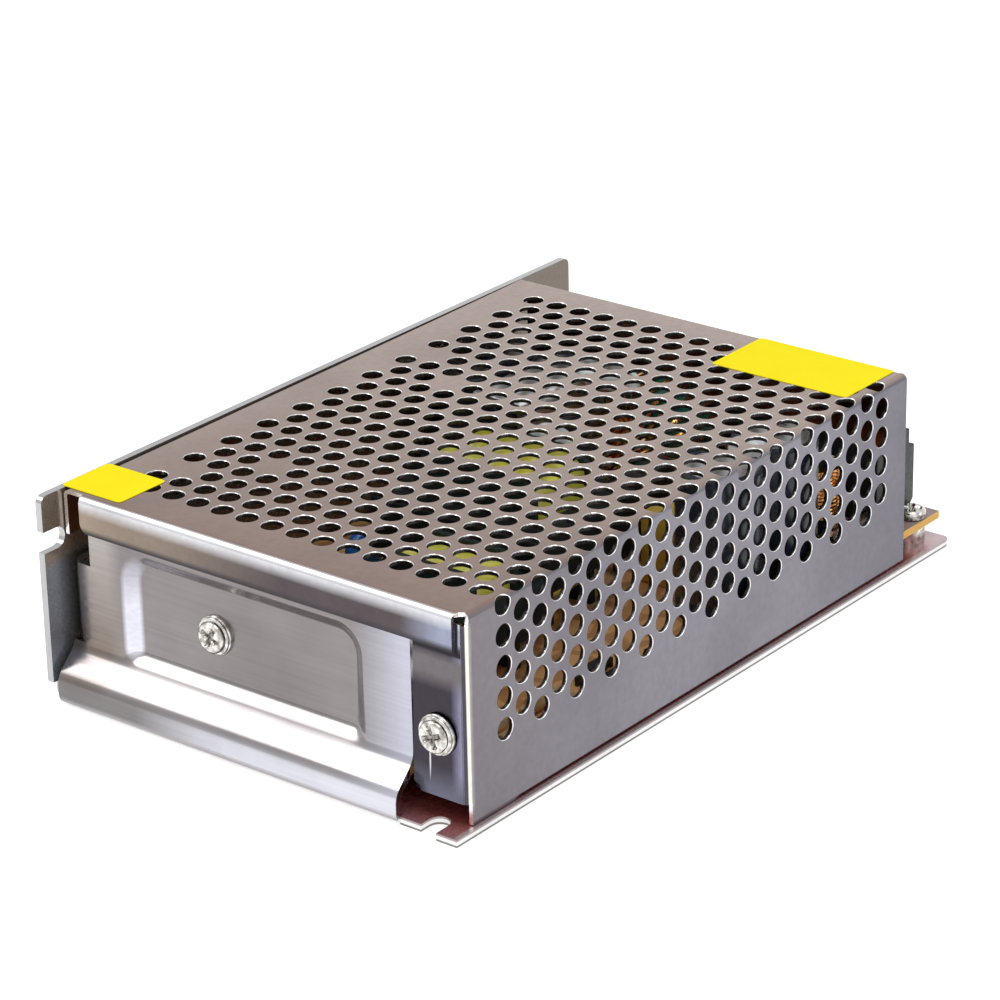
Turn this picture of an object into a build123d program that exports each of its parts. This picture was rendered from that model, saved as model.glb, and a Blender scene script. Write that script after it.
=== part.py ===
from build123d import *
import math
import os

os.makedirs("parts", exist_ok=True)

# Enclosed power supply: a folded chassis, a perforated cover and an open board with its terminals.
# All sizes are in millimetres. Each function works from the rear corner beside the perforated side:
# X runs from the end plate to the terminals, Y from the perforated side to the chassis wall, Z up.
# save() then moves the origin to the centre of the underside.

# Case
length = 160.0
width = 98.0
height = 42.0

# Chassis sheet
chassis_sheet = 1.5
chassis_bend = 2.2
corner_rounding = 1.6
end_plate_inset = 5.2
end_plate_gap = 1.1
end_plate_near = 13.6
end_plate_notch = 5.3
end_plate_notch_z = 28.0
end_plate_top_gap = 0.7
skirt_height = 5.8
cove_rise = 5.2
cove_bend = 4.0
side_ear_reach = 9.0
side_ear_bend = 3.0
side_ear_gap = 0.9
recess_margin_near = 10.3
recess_margin_far = 12.6
recess_top_drop = 7.8
recess_depth = 1.8
recess_slope = 4.1
recess_foot_slope = 1.0
recess_corner = 3.0
tab_setback = 1.0
slot_width = 4.2
slot_depth = 5.6
base_slot_y = 6.75
wall_slot_drop = 9.2
base_hole_span_x = 120.0
base_hole_span_y = 56.0
base_hole_radius = 1.6

# Cover sheet
cover_sheet = 0.8
cover_bend = 1.4
cover_ledge = 0.9
cover_front_gap = 16.3
cover_plate_gap = 0.1
cover_wall_gap = 0.3
cover_floor_gap = 0.7
cover_ear = 13.0
cover_ear_gap = 0.2
wall_flange_depth = 9.0
lip_depth = 7.2
lip_near = 3.1
lip_far = 5.0
lip_corner = 2.0
flange_reach = 11.9
flange_floor_gap = 4.5
flange_corner = 2.0
flange_top_gap = 2.0

# Perforation: a triangular lattice that runs over the bend from the top to the side
hole_pitch = 6.0
hole_diameter = 4.2
hole_sides = 4
first_hole_from_rear = 11.0
last_hole_from_front = 8.7
first_top_hole = 1.6
last_top_hole_margin = 9.6
first_side_hole = 1.4
last_side_hole_z = 16.0
unpunched = {(2, 13), (16, 13), (4, 11), (14, 11)}
crease_sides = 2

# Flat sides of round pieces that repeat or stay out of sight
few_sides = 16
shank_sides = 8

# Screws
screw_radius = 1.5
screw_play = 0.05
screw_tip_gap = 0.8
head_radius = 3.5
head_height = 1.0
washer_radius = 3.9
washer_thickness = 1.0
board_head_radius = 3.0
board_head_height = 2.0
cover_screw_length = 5.0
cover_screw_z = 18.2
cover_screw_from_side = 6.2
tab_end_gap = 2.0
tab_half_height = 6.0
wall_screw_drop = 5.0
wall_screw_margin = 26.0
flush_head_radius = 2.8
flush_head_depth = 1.3
clamp_screw_aside = 7.5
clamp_screw_drop = 1.2

# Board
board_gap = 3.9
board_thickness = 1.6
board_rear = 9.4
board_front_gap = 0.7
board_side_gap = 0.7
board_wall_gap = 0.9
standoff_radius = 2.8
standoff_sides = 6
mount_rear_x = 14.5
mount_front_gap = 6.4
mount_near_y = 5.4
mount_far_gap = 5.6

# Terminal block
pole_pitch = 9.5
trimmer_bay = 19.0
barrier_thickness = 1.3
block_near = 8.6
block_cover_gap = 1.9
block_depth = 13.8
block_base_height = 6.6
block_height = 17.2
block_front_height = 13.3
block_step = 1.9
block_chamfer = 1.4
block_wall = 1.5
terminal_plate_thickness = 0.9
terminal_plate_length = 9.0
terminal_plate_play = 0.25
terminal_screw_radius = 3.3
terminal_screw_height = 2.2

# Voltage trimmer and lamp
trimmer_size = 9.5
trimmer_height = 5.0
trimmer_well = 2.2
trimmer_play = 0.3
trimmer_corner = 0.8
rotor_radius = 3.2
rotor_height = 2.6
rotor_slot = 1.0
rotor_slot_depth = 1.2
rotor_slot_share = 0.8
trimmer_wall_gap = 12.0
trimmer_front_gap = 5.6
lamp_radius = 1.5
lamp_collar = 0.4
lamp_collar_height = 1.0
lamp_height = 5.0
lamp_gap = 2.4

# The parts inside are laid out in a case of this size, and follow the case when it changes
drawn_length = 160.0
drawn_width = 98.0
drawn_height = 42.0

# Transformers: overall width and length of the core, its thickness and the winding around it
main_core = (40.0, 32.0, 12.0)
main_place = (74.0, 47.0)
driver_core = (30.0, 24.0, 9.0)
driver_place = (45.0, 37.0)
core_back_share = 0.16
core_leg_share = 0.145
core_side_share = 0.13
bobbin_foot_share = 0.05
bobbin_flange = 1.4
bobbin_rim = 0.8
winding_corner_share = 0.35
winding_play = 0.3

# Capacitors
bulk_radius = 8.5
bulk_height = 30.0
bulk_places = ((113.0, 11.2), (94.5, 11.2))
output_radius = 6.2
output_flange_gap = 1.0
output_pitch = 13.4
output_x = (129.5, 115.5)
small_radius = 4.0
small_height = 12.0
small_places = ((22.0, 84.0), (34.0, 88.0), (49.0, 86.0))

# Heatsink and output rectifier
sink_start = 95.0
sink_length = 26.0
sink_y = 58.0
sink_sheet = 2.0
sink_cover_gap = 3.2
sink_flange = 13.0
sink_bend = 2.6
tab_package = (10.2, 15.4, 4.5)
package_tab_thickness = 1.3
package_tab_rise = 8.0
package_tab_bared = 0.6
package_body_share = 0.6
package_head_gap = 1.0
lead_thickness = 0.7
lead_pitch = 2.54
pad_thickness = 0.3
pad_rim = 0.5
pad_margin = 2.0
clamp_bar_thickness = 2.2
clamp_bar_height = 8.0
clamp_bar_margin = 1.5
clamp_bar_corner = 1.5

# Chokes
choke_radius = 13.5
choke_bore = 6.5
choke_width = 12.0
choke_place = (129.0, 53.0)
choke_turns = 14
choke_wire = 1.0
choke_play = 0.06
choke_arc = 300.0
line_choke_place = (130.5, 21.0)
line_core_width = 20.0
line_core_height = 21.0
line_core_leg = 5.0
line_coil_radius = 5.4
line_coil_play = 0.3
line_base_height = 2.0
line_base_rim = 1.5
line_core_cut = 1.0

# Small electrical pieces: where each stands and how large it is
fuse_x = 133.0
fuse_side_gap = 3.0
fuse_radius = 2.6
fuse_tube_radius = 2.2
fuse_length = 20.0
fuse_cap = 5.0
fuse_rise = 4.2
fuse_clip_width = 6.0
fuse_clip_length = 4.0
varistor_place = (141.5, 23.0)
varistor_radius = 7.0
thermistor_place = (119.0, 28.0)
thermistor_radius = 5.5
disc_place = (64.0, 74.0)
disc_radius = 5.0
disc_thickness = 3.4
disc_rise = 2.0
film_box = ((96.0, 114.0), (23.0, 31.0), 15.0)
bridge_box = ((95.0, 115.0), (36.0, 40.0), 15.0)
bridge_rise = 3.0
bridge_chamfer = 3.0
chip_box = ((20.0, 40.0), (71.8, 78.2), 3.6)
chip_leads = 8
chip_lead_width = 1.2
chip_lead_reach = 0.6
chip_lift = 0.5
resistor_radius = 1.6
resistor_length = 6.6
resistor_places = ((26.0, 8.0), (26.0, 13.0), (26.0, 18.0), (41.0, 8.0), (41.0, 13.0))
diode_radius = 1.5
diode_length = 5.2
diode_places = ((57.0, 8.0), (57.0, 13.0), (70.0, 8.0))
lead_reach = 2.4
wire_thickness = 0.8
jumper_places = ((22.0, 26.0), (22.0, 31.0), (79.0, 82.0), (96.0, 84.0), (138.5, 40.0))
jumper_length = 8.0
jumper_rise = 1.2

# Stickers
sticker = 0.12
small_sticker_x = (6.6, 19.2)
small_sticker_from_wall = (15.1, 0.4)
large_sticker_from_front = (17.6, 0.2)
large_sticker_y = (3.6, 35.4)

along = length / drawn_length
across = width / drawn_width
upward = height / drawn_height
evenly = min(along, across)
half_length = length / 2
half_width = width / 2
board_bottom = chassis_sheet + board_gap
board_top = board_bottom + board_thickness
board_front = length - board_front_gap
board_near = cover_ledge + cover_sheet + board_side_gap
board_far = width - chassis_sheet - board_wall_gap
wall_inner = width - chassis_sheet
plate_inner = end_plate_inset + chassis_sheet
recess_top = height - recess_top_drop
recess_floor = end_plate_inset + recess_depth
recess_back = recess_floor + chassis_sheet
cover_rear = end_plate_inset - cover_plate_gap - cover_sheet
cover_front = length - cover_front_gap
cover_side = cover_ledge
cover_far = wall_inner - cover_wall_gap
cover_inner_top = height - cover_sheet
cover_floor = chassis_sheet + cover_floor_gap
block_rear = cover_front + block_cover_gap
block_front = block_rear + block_depth
pole_count = int((board_far - trimmer_bay - block_near - barrier_thickness) / pole_pitch)
block_length = pole_count * pole_pitch + barrier_thickness
block_far = block_near + block_length
block_seat = board_top + block_base_height
hole_step_x = hole_pitch * math.sqrt(3) / 2
first_column = cover_rear + first_hole_from_rear
hole_columns = int((cover_front - last_hole_from_front - first_column) / hole_step_x) + 1
hole_area = math.pi * (hole_diameter / 2) ** 2
hole_corner = math.sqrt(2 * hole_area / (hole_sides * math.sin(2 * math.pi / hole_sides)))
main_size = (main_core[0] * across, main_core[1] * along, main_core[2] * upward)
driver_size = (driver_core[0] * across, driver_core[1] * along, driver_core[2] * upward)
sink_top = cover_inner_top - sink_cover_gap
output_r = output_radius * evenly
output_far = board_far - output_r
output_near = output_far - output_pitch * evenly
output_places = (
    (output_x[0] * along, output_near),
    (output_x[0] * along, output_far),
    (output_x[1] * along, output_far),
)
mount_places = (
    (mount_rear_x, mount_near_y),
    (mount_rear_x, width - mount_far_gap),
    (length - mount_front_gap, mount_near_y),
    (length - mount_front_gap, width - mount_far_gap),
)


def block(x, y, z):
    """A box between two values on each axis."""
    size = [span[1] - span[0] for span in (x, y, z)]
    middle = [(span[1] + span[0]) / 2 for span in (x, y, z)]
    return Pos(*middle) * Box(*size)


def rod(plane, centre, reach, radius, sides=0):
    """A bar from a point along a plane's normal: round, or with a few flat sides."""
    start = Plane(origin=centre, z_dir=plane.z_dir)
    outline = RegularPolygon(radius, sides) if sides else Circle(radius)
    return extrude(start * outline, reach)


def post(x, y, z, radius, sides=0):
    """An upright bar between two heights."""
    return rod(Plane.XY, (x, y, z[0]), z[1] - z[0], radius, sides)


def around(radius, sides):
    """The corner radius of a flat-sided hole that clears a round bar."""
    return radius / math.cos(math.pi / sides)


def screw_hole(plane, centre, reach):
    """A cut for a screw's shank, from a point along a plane's normal."""
    return rod(plane, centre, reach, around(screw_radius + screw_play, shank_sides), shank_sides)


def folded_sheet(points, bends, sheet, side):
    """The section of a sheet folded along the outer line through the points."""
    with BuildSketch() as section:
        with BuildLine():
            FilletPolyline(*points, radius=bends)
            offset(amount=sheet, side=side)
        make_face()
    return section.sketch


def eased_bar(x, y, z, axis, cut):
    """A box whose edges along one axis are cut off."""
    bar = block(x, y, z)
    return chamfer(bar.edges().filter_by(axis), cut)


def spot(place):
    """A place on the board, moved as the case changes."""
    return (place[0] * along, place[1] * across)


def spots(places):
    return [spot(place) for place in places]


def stretched(span, factor):
    return (span[0] * factor, span[1] * factor)


def joined(*shapes):
    """One shape out of separate solids, each kept whole."""
    solids = [solid for shape in shapes for solid in shape.solids()]
    return Compound(solids)


def save(name, shape):
    """Write a sub-part with the origin at the centre of the underside."""
    moved = Pos(-half_length, -half_width, 0) * shape
    export_step(moved, "parts/" + name + ".step")


def slot_cut(end_x, direction, y, z, axis):
    """An open mounting slot with a round end, cut from a chassis edge."""
    centre_x = end_x + direction * (slot_depth - slot_width / 2)
    outside = end_x - direction
    x = (min(outside, centre_x), max(outside, centre_x))
    if axis == "Z":
        deep = (z - 2 * chassis_sheet, z + 2 * chassis_sheet)
        straight = block(x, (y - slot_width / 2, y + slot_width / 2), deep)
        return straight + post(centre_x, y, deep, slot_width / 2)
    deep = (y - 2 * chassis_sheet, y + 2 * chassis_sheet)
    straight = block(x, deep, (z - slot_width / 2, z + slot_width / 2))
    end = rod(Plane.XZ, (centre_x, deep[1], z), deep[1] - deep[0], slot_width / 2)
    return straight + end


def base_and_wall():
    """The base and the long wall, folded from one strip."""
    points = [(0, 0), (width, 0), (width, height)]
    section = folded_sheet(points, chassis_bend, chassis_sheet, Side.LEFT)
    strip = extrude(Plane.YZ * section, length)
    gap_x = (-1, chassis_bend)
    strip -= block(gap_x, (end_plate_near, wall_inner), (-1, 2 * chassis_sheet))
    strip -= block(gap_x, (wall_inner - 1, width + 1), (-1, 2 * chassis_bend))
    strip -= block((-1, tab_setback), (base_slot_y, end_plate_near + 1), (-1, 2 * chassis_sheet))
    strip -= slot_cut(0, 1, base_slot_y, 0, "Z")
    strip -= slot_cut(0, 1, width, height - wall_slot_drop, "Y")
    base_corner = strip.edges().filter_by(Axis.Z).sort_by_distance((length, 0, 0))[0]
    wall_corners = strip.edges().filter_by(Axis.Y).group_by(Axis.Z)[-1]
    return fillet([base_corner, wall_corners[0], wall_corners[-1]], corner_rounding)


def end_plate_section():
    """The end plate from the side: skirt, S-shaped cove and upright plate."""
    points = [
        (2 * chassis_bend, 0),
        (0, 0),
        (0, skirt_height),
        (end_plate_inset, skirt_height + cove_rise),
        (end_plate_inset, cover_inner_top - end_plate_top_gap),
    ]
    bends = [chassis_bend, cove_bend, cove_bend]
    return folded_sheet(points, bends, chassis_sheet, Side.RIGHT)


def recess_loft(front, grow):
    """The embossed recess as a tapered block, grown for the side of the sheet it shapes."""
    y0 = end_plate_near + recess_margin_near - grow
    y1 = end_plate_far() - recess_margin_far + grow
    z0 = skirt_height + cove_rise - grow
    z1 = recess_top + grow
    outer = recess_face(front, (y0, y1), (z0, z1))
    inner_y = (y0 + recess_slope, y1 - recess_slope)
    inner_z = (z0 + recess_foot_slope, z1 - recess_slope)
    inner = recess_face(front + recess_depth, inner_y, inner_z)
    return loft([outer, inner], ruled=True)


def recess_face(x, y, z):
    """A rectangle across X with its corners cut off."""
    outline = Rectangle(y[1] - y[0], z[1] - z[0])
    face = chamfer(outline.vertices(), recess_corner)
    middle = (x, (y[0] + y[1]) / 2, (z[0] + z[1]) / 2)
    return Plane(origin=middle, x_dir=(0, 1, 0), z_dir=(1, 0, 0)) * face


def end_plate_far():
    return width - chassis_sheet - end_plate_gap


def side_ear():
    """The end plate's far edge, folded back along the wall."""
    far = end_plate_far()
    points = [
        (end_plate_inset, far - 2 * side_ear_bend),
        (end_plate_inset, far),
        (end_plate_inset + side_ear_reach, far),
    ]
    section = folded_sheet(points, side_ear_bend, chassis_sheet, Side.RIGHT)
    foot = skirt_height + cove_rise + side_ear_gap
    return Pos(0, 0, foot) * extrude(section, end_plate_notch_z - foot)


def end_plate():
    """The rear end of the chassis, with its recess and the tab behind the cover's flange."""
    far = end_plate_far()
    ear_start = far - side_ear_bend
    plate = Plane.XZ * end_plate_section()
    plate = Pos(0, far, 0) * extrude(plate, far - end_plate_near)
    upper = (end_plate_notch_z, height)
    ear_z = (skirt_height + cove_rise + side_ear_gap, height)
    plate -= block((end_plate_inset - 1, plate_inner + 1), (ear_start, far + 1), ear_z)
    plate -= block((end_plate_inset - 1, plate_inner + 1), (far - end_plate_notch, far + 1), upper)
    plate += side_ear()
    plate += recess_loft(plate_inner, chassis_sheet / 2)
    plate -= recess_loft(end_plate_inset, 0)
    plate += cover_tab()
    plate -= screw_hole(Plane.YZ, (0, clamp_screw_y(), clamp_screw_z()), 2 * recess_back)
    return plate


def clamp_screw_y():
    near = end_plate_near + recess_margin_near
    far = end_plate_far() - recess_margin_far
    return (near + far) / 2 + clamp_screw_aside


def clamp_screw_z():
    return (skirt_height + cove_rise + recess_top) / 2 - clamp_screw_drop


def cover_tab():
    """The tab behind the cover's side flange, tapped for the cover screw."""
    y = (cover_side + cover_sheet + tab_end_gap, end_plate_near + chassis_sheet)
    z = (cover_screw_z - tab_half_height, cover_screw_z + tab_half_height)
    tab = block((end_plate_inset, plate_inner), y, z)
    screw_y = cover_side + cover_screw_from_side
    return tab - screw_hole(Plane.YZ, (0, screw_y, cover_screw_z), 2 * recess_back)


def base_holes():
    """The tapped holes in the base for fixing the supply down."""
    holes = []
    for x in (-base_hole_span_x / 2, base_hole_span_x / 2):
        for y in (-base_hole_span_y / 2, base_hole_span_y / 2):
            cut_z = (-1, chassis_sheet + 1)
            holes.append(post(half_length + x, half_width + y, cut_z, base_hole_radius))
    return holes


def wall_screw_places():
    """Where the two wall screws hold the cover's wall flange."""
    z = height - wall_screw_drop
    return [(cover_rear + wall_screw_margin, z), (cover_front - wall_screw_margin, z)]


def chassis():
    body = base_and_wall() + end_plate()
    for hole in base_holes():
        body -= hole
    for x, z in wall_screw_places():
        body -= facing((0, 1, 0), (x, width, z)) * flush_screw(screw_play)
    return body


def hole_wire(x, y):
    """One punched hole as a flat outline with few sides."""
    corners = []
    for side in range(hole_sides):
        turn = 2 * math.pi * (side + 0.5) / hole_sides
        corners.append((x + hole_corner * math.cos(turn), y + hole_corner * math.sin(turn)))
    return Wire.make_polygon(corners)


def column_x(column):
    return first_column + column * hole_step_x


def hole_rows(start, end):
    """Hole centres from a start to an end, a pitch apart."""
    count = int((end - start) / hole_pitch) + 1
    return [start + row * hole_pitch for row in range(count)]


def top_holes():
    """Centres of the holes in the top."""
    centres = []
    for column in range(hole_columns):
        shift = 0 if column % 2 else hole_pitch / 2
        rows = hole_rows(cover_side + first_top_hole + shift, cover_far - last_top_hole_margin)
        for row, y in enumerate(rows):
            if (column, row) not in unpunched:
                centres.append((column_x(column), y))
    return centres


def side_holes():
    """Centres of the holes in the side, with depth below the top."""
    centres = []
    for column in range(hole_columns):
        shift = hole_pitch / 2 if column % 2 else 0
        rows = hole_rows(first_side_hole + shift, height - last_side_hole_z)
        centres += [(column_x(column), depth) for depth in rows]
    return centres


def clears_bend(distance):
    return distance - hole_corner > cover_bend


def punched_face(x, y, centres):
    """A flat stretch of sheet with its holes."""
    outline = Wire.make_polygon([(x[0], y[0]), (x[1], y[0]), (x[1], y[1]), (x[0], y[1])])
    return Face(outline, [hole_wire(*centre) for centre in centres])


def cover_top():
    centres = [c for c in top_holes() if clears_bend(c[1] - cover_side)]
    x = (cover_rear + cover_bend, cover_front)
    face = punched_face(x, (cover_side + cover_bend, cover_far - cover_bend), centres)
    return Pos(0, 0, cover_inner_top) * extrude(face, cover_sheet)


def cover_side_sheet():
    centres = [(x, height - d) for x, d in side_holes() if clears_bend(d)]
    x = (cover_rear + cover_bend, cover_front)
    face = punched_face(x, (cover_floor, height - cover_bend), centres)
    upright = Plane(origin=(0, cover_side + cover_sheet, 0), x_dir=(1, 0, 0), z_dir=(0, -1, 0))
    return extrude(upright * face, cover_sheet)


def crease_arc(radius):
    """Points along the near bend at a radius, as a few flat steps."""
    centre_y = cover_side + cover_bend
    centre_z = height - cover_bend
    turns = [math.pi / 2 * step / crease_sides for step in range(crease_sides + 1)]
    return [(centre_y - radius * math.cos(t), centre_z + radius * math.sin(t)) for t in turns]


def near_bend():
    """The section of the perforated bend, whose holes are cheap in flat steps."""
    outer = crease_arc(cover_bend)
    inner = crease_arc(cover_bend - cover_sheet)
    return make_face(Polyline(*outer, *reversed(inner), close=True))


def far_bend():
    """The section of the plain bend, with the flange inside the wall."""
    corner = (cover_far, height)
    points = [(cover_far - 2 * cover_bend, height), corner, (cover_far, height - wall_flange_depth)]
    return folded_sheet(points, cover_bend, cover_sheet, Side.RIGHT)


def cover_long_bends():
    run = cover_front - cover_rear - cover_bend
    strips = extrude(Plane.YZ * near_bend(), run) + extrude(Plane.YZ * far_bend(), run)
    return Pos(cover_rear + cover_bend, 0, 0) * strips


def cover_lip():
    """The rear lip, folded down over the end plate."""
    y = (cover_side + lip_near, cover_far - lip_far)
    corner = (cover_rear, height)
    points = [(cover_rear, height - lip_depth), corner, (cover_rear + 2 * cover_bend, height)]
    section = folded_sheet(points, cover_bend, cover_sheet, Side.RIGHT)
    lip = Pos(0, y[1], 0) * extrude(Plane.XZ * section, y[1] - y[0])
    far_edge = lip.edges().filter_by(Axis.X).sort_by(Axis.Z)[:2].sort_by(Axis.Y)[-1]
    return fillet(far_edge, lip_corner)


def cover_flange():
    """The side's rear flange, folded across the end of the case."""
    z = (chassis_sheet + flange_floor_gap, height - flange_top_gap)
    points = [
        (cover_rear + 2 * cover_bend, cover_side),
        (cover_rear, cover_side),
        (cover_rear, cover_side + flange_reach),
    ]
    section = folded_sheet(points, cover_bend, cover_sheet, Side.RIGHT)
    flange = Pos(0, 0, z[0]) * extrude(section, z[1] - z[0])
    corner = flange.edges().filter_by(Axis.X).sort_by(Axis.Y)[-2:].sort_by(Axis.Z)[0]
    return fillet(corner, flange_corner)


def cover_ear_tab():
    """The rear foot of the side, which reaches down to the base."""
    x = (cover_rear + cover_bend, cover_rear + cover_ear)
    z = (chassis_sheet + cover_ear_gap, cover_floor + 1)
    return block(x, (cover_side, cover_side + cover_sheet), z)


def bend_hole_cuts():
    """Cuts for the holes that run over the near bend."""
    cuts = []
    for x, y in top_holes():
        if not clears_bend(y - cover_side):
            outline = Pos(0, 0, cover_inner_top - cover_sheet) * Face(hole_wire(x, y))
            cuts.append(extrude(outline, 3 * cover_sheet))
    upright = Plane(origin=(0, cover_side + 2 * cover_sheet, 0), x_dir=(1, 0, 0), z_dir=(0, -1, 0))
    for x, depth in side_holes():
        if not clears_bend(depth):
            outline = upright * Face(hole_wire(x, height - depth))
            cuts.append(extrude(outline, 3 * cover_sheet))
    return cuts


def cover():
    folds = [cover_side_sheet(), cover_long_bends(), cover_lip(), cover_flange(), cover_ear_tab()]
    body = cover_top() + folds
    body -= bend_hole_cuts()
    screw_y = cover_side + cover_screw_from_side
    body -= screw_hole(Plane.YZ, (0, screw_y, cover_screw_z), plate_inner)
    for x, z in wall_screw_places():
        body -= screw_hole(Plane.XZ, (x, cover_far + 1, z), 2 + cover_sheet)
    return body


def pan_screw(length_under_head):
    """A pan-head screw along +Z with its washer, seated at Z 0 with the shank pointing down."""
    washer = post(0, 0, (0, washer_thickness), washer_radius, few_sides)
    head_z = (washer_thickness, washer_thickness + head_height)
    head = post(0, 0, head_z, head_radius, few_sides)
    shank = post(0, 0, (-length_under_head, washer_thickness), screw_radius, shank_sides)
    return washer + head + shank


def facing(direction, point):
    """The placement that turns +Z to a direction at a point."""
    return Plane(origin=point, z_dir=direction).location


def flush_screw(grow):
    """A countersunk screw along +Z with its face at Z 0, grown for the hole that it fits."""
    seat = Pos(0, 0, -flush_head_depth) * RegularPolygon(screw_radius + grow, shank_sides)
    face = RegularPolygon(flush_head_radius + grow, shank_sides)
    head = loft([seat, face], ruled=True)
    shank = post(0, 0, (-cover_screw_length, -flush_head_depth), screw_radius + grow, shank_sides)
    return head + shank


def cover_screw():
    seat = (cover_rear, cover_side + cover_screw_from_side, cover_screw_z)
    return facing((-1, 0, 0), seat) * pan_screw(cover_screw_length)


def wall_screws():
    """The countersunk screws that hold the cover's flange to the wall."""
    seats = [facing((0, 1, 0), (x, width, z)) for x, z in wall_screw_places()]
    return joined(*[seat * flush_screw(0) for seat in seats])


def clamp_screw():
    reach = chassis_sheet + pad_thickness + tab_package[2] + clamp_bar_thickness
    return facing((-1, 0, 0), (recess_floor, clamp_screw_y(), clamp_screw_z())) * pan_screw(reach)


def circuit_board():
    board = block((board_rear, board_front), (board_near, board_far), (board_bottom, board_top))
    for x, y in mount_places:
        board -= screw_hole(Plane.XY, (x, y, 0), height)
    return board


def board_standoffs():
    """Six-sided metal spacers on the base under the board's corners."""
    floor = chassis_sheet + screw_tip_gap / 2
    posts = []
    for x, y in mount_places:
        spacer = post(x, y, (chassis_sheet, board_bottom), standoff_radius, standoff_sides)
        posts.append(spacer - screw_hole(Plane.XY, (x, y, floor), height))
    return joined(*posts)


def board_screws():
    """The board's pan-head screws, one in each spacer."""
    tip = chassis_sheet + screw_tip_gap
    screws = []
    for x, y in mount_places:
        head_z = (board_top, board_top + board_head_height)
        head = post(x, y, head_z, board_head_radius, few_sides)
        screws.append(head + post(x, y, (tip, board_top), screw_radius, shank_sides))
    return joined(*screws)


def block_profile(top, front):
    """The terminal block's section from the side, up to a height and out to a front edge."""
    foot = board_top
    return Polyline(
        (block_rear, foot),
        (front - block_chamfer, foot),
        (front, foot + block_chamfer),
        (front, top),
        (block_rear, top),
        close=True,
    )


def along_poles(profile, start, thickness):
    """A section in the X-Z plane, made solid from one Y value towards the wall."""
    face = Plane.XZ * make_face(profile)
    return Pos(0, start + thickness, 0) * extrude(face, thickness)


def terminal_block():
    """The moulded barrier block: a base with a rear wall and a barrier on each side of every pole."""
    top = board_top + block_height
    body = along_poles(block_profile(block_seat, block_front), block_near, block_length)
    body += block((block_rear, block_rear + block_wall), (block_near, block_far), (block_seat, top))
    barrier_face = block_profile(board_top + block_front_height, block_front)
    for index in range(pole_count + 1):
        start = block_near + index * pole_pitch
        body += along_poles(barrier_face, start, barrier_thickness)
        high_x = (block_rear, block_front - block_step)
        body += block(high_x, (start, start + barrier_thickness), (block_seat, top))
    return body


def pole_places():
    """The middle of each pole's seat."""
    x = (block_rear + block_wall + block_front) / 2
    first = block_near + (pole_pitch + barrier_thickness) / 2
    return [(x, first + index * pole_pitch) for index in range(pole_count)]


def terminal_plates():
    plates = []
    half_y = (pole_pitch - barrier_thickness) / 2 - terminal_plate_play
    half_x = terminal_plate_length / 2
    for x, y in pole_places():
        z = (block_seat, block_seat + terminal_plate_thickness)
        plates.append(block((x - half_x, x + half_x), (y - half_y, y + half_y), z))
    return joined(*plates)


def terminal_screws():
    seat = block_seat + terminal_plate_thickness
    z = (seat, seat + terminal_screw_height)
    heads = [post(x, y, z, terminal_screw_radius, few_sides) for x, y in pole_places()]
    return joined(*heads)


def trimmer_place():
    return (length - trimmer_front_gap, board_far - trimmer_wall_gap)


def trimmer_base():
    """The trimmer's square body, with the round well that its rotor sits in."""
    x, y = trimmer_place()
    half = trimmer_size / 2
    z = (board_top, board_top + trimmer_height)
    body = eased_bar((x - half, x + half), (y - half, y + half), z, Axis.Z, trimmer_corner)
    return body - post(x, y, (z[1] - trimmer_well, z[1] + 1), rotor_radius + trimmer_play)


def trimmer_rotor():
    """The trimmer's turning disc, with a screwdriver slot."""
    x, y = trimmer_place()
    foot = board_top + trimmer_height - trimmer_well + trimmer_play
    top = foot + rotor_height
    turned = post(x, y, (foot, top), rotor_radius)
    slot_x = (x - rotor_slot / 2, x + rotor_slot / 2)
    reach = rotor_slot_share * rotor_radius
    slot_y = (y - reach, y + reach)
    return turned - block(slot_x, slot_y, (top - rotor_slot_depth, top + 1))


def indicator_lamp():
    """The indicator lamp beside the trimmer: a domed lens on a collar."""
    x, y = trimmer_place()
    x -= trimmer_size / 2 + lamp_gap
    z = (board_top + lamp_collar_height, board_top + lamp_height)
    lens = post(x, y, z, lamp_radius, few_sides)
    lens = chamfer(lens.faces().sort_by(Axis.Z)[-1].edges(), lamp_radius / 2)
    return lens + post(x, y, (board_top, z[0]), lamp_radius + lamp_collar, few_sides)


def e_core(size, place):
    """A pair of E cores face to face, lying flat, with the legs along X."""
    wide, long, thick = size
    back = core_back_share * wide
    x, y = place
    middle = core_middle(size)
    z = (middle - thick / 2, middle + thick / 2)
    whole = block((x - long / 2, x + long / 2), (y - wide / 2, y + wide / 2), z)
    for sign in (-1, 1):
        inner = sign * core_leg_share * wide
        outer = sign * (0.5 - core_side_share) * wide
        window_y = (y + min(inner, outer), y + max(inner, outer))
        whole -= block((x - long / 2 + back, x + long / 2 - back), window_y, (z[0] - 1, z[1] + 1))
    return whole


def core_window(size):
    """How far the winding may reach from the core's middle in X, and in Y."""
    wide, long, _ = size
    reach_x = long / 2 - core_back_share * wide
    reach_y = (0.5 - core_side_share) * wide
    return reach_x - winding_play, reach_y - winding_play


def core_middle(size):
    """The height of a core's middle, with its bobbin standing on the board."""
    reach = core_window(size)[1]
    return board_top + bobbin_foot(size) + winding_rise(size, reach)


def winding_rise(size, reach):
    """Half the height of a winding that reaches so far beside the leg."""
    wide, _, thick = size
    return thick / 2 + (reach - core_leg_share * wide) * upward / across


def bobbin_foot(size):
    return bobbin_foot_share * size[0]


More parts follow.
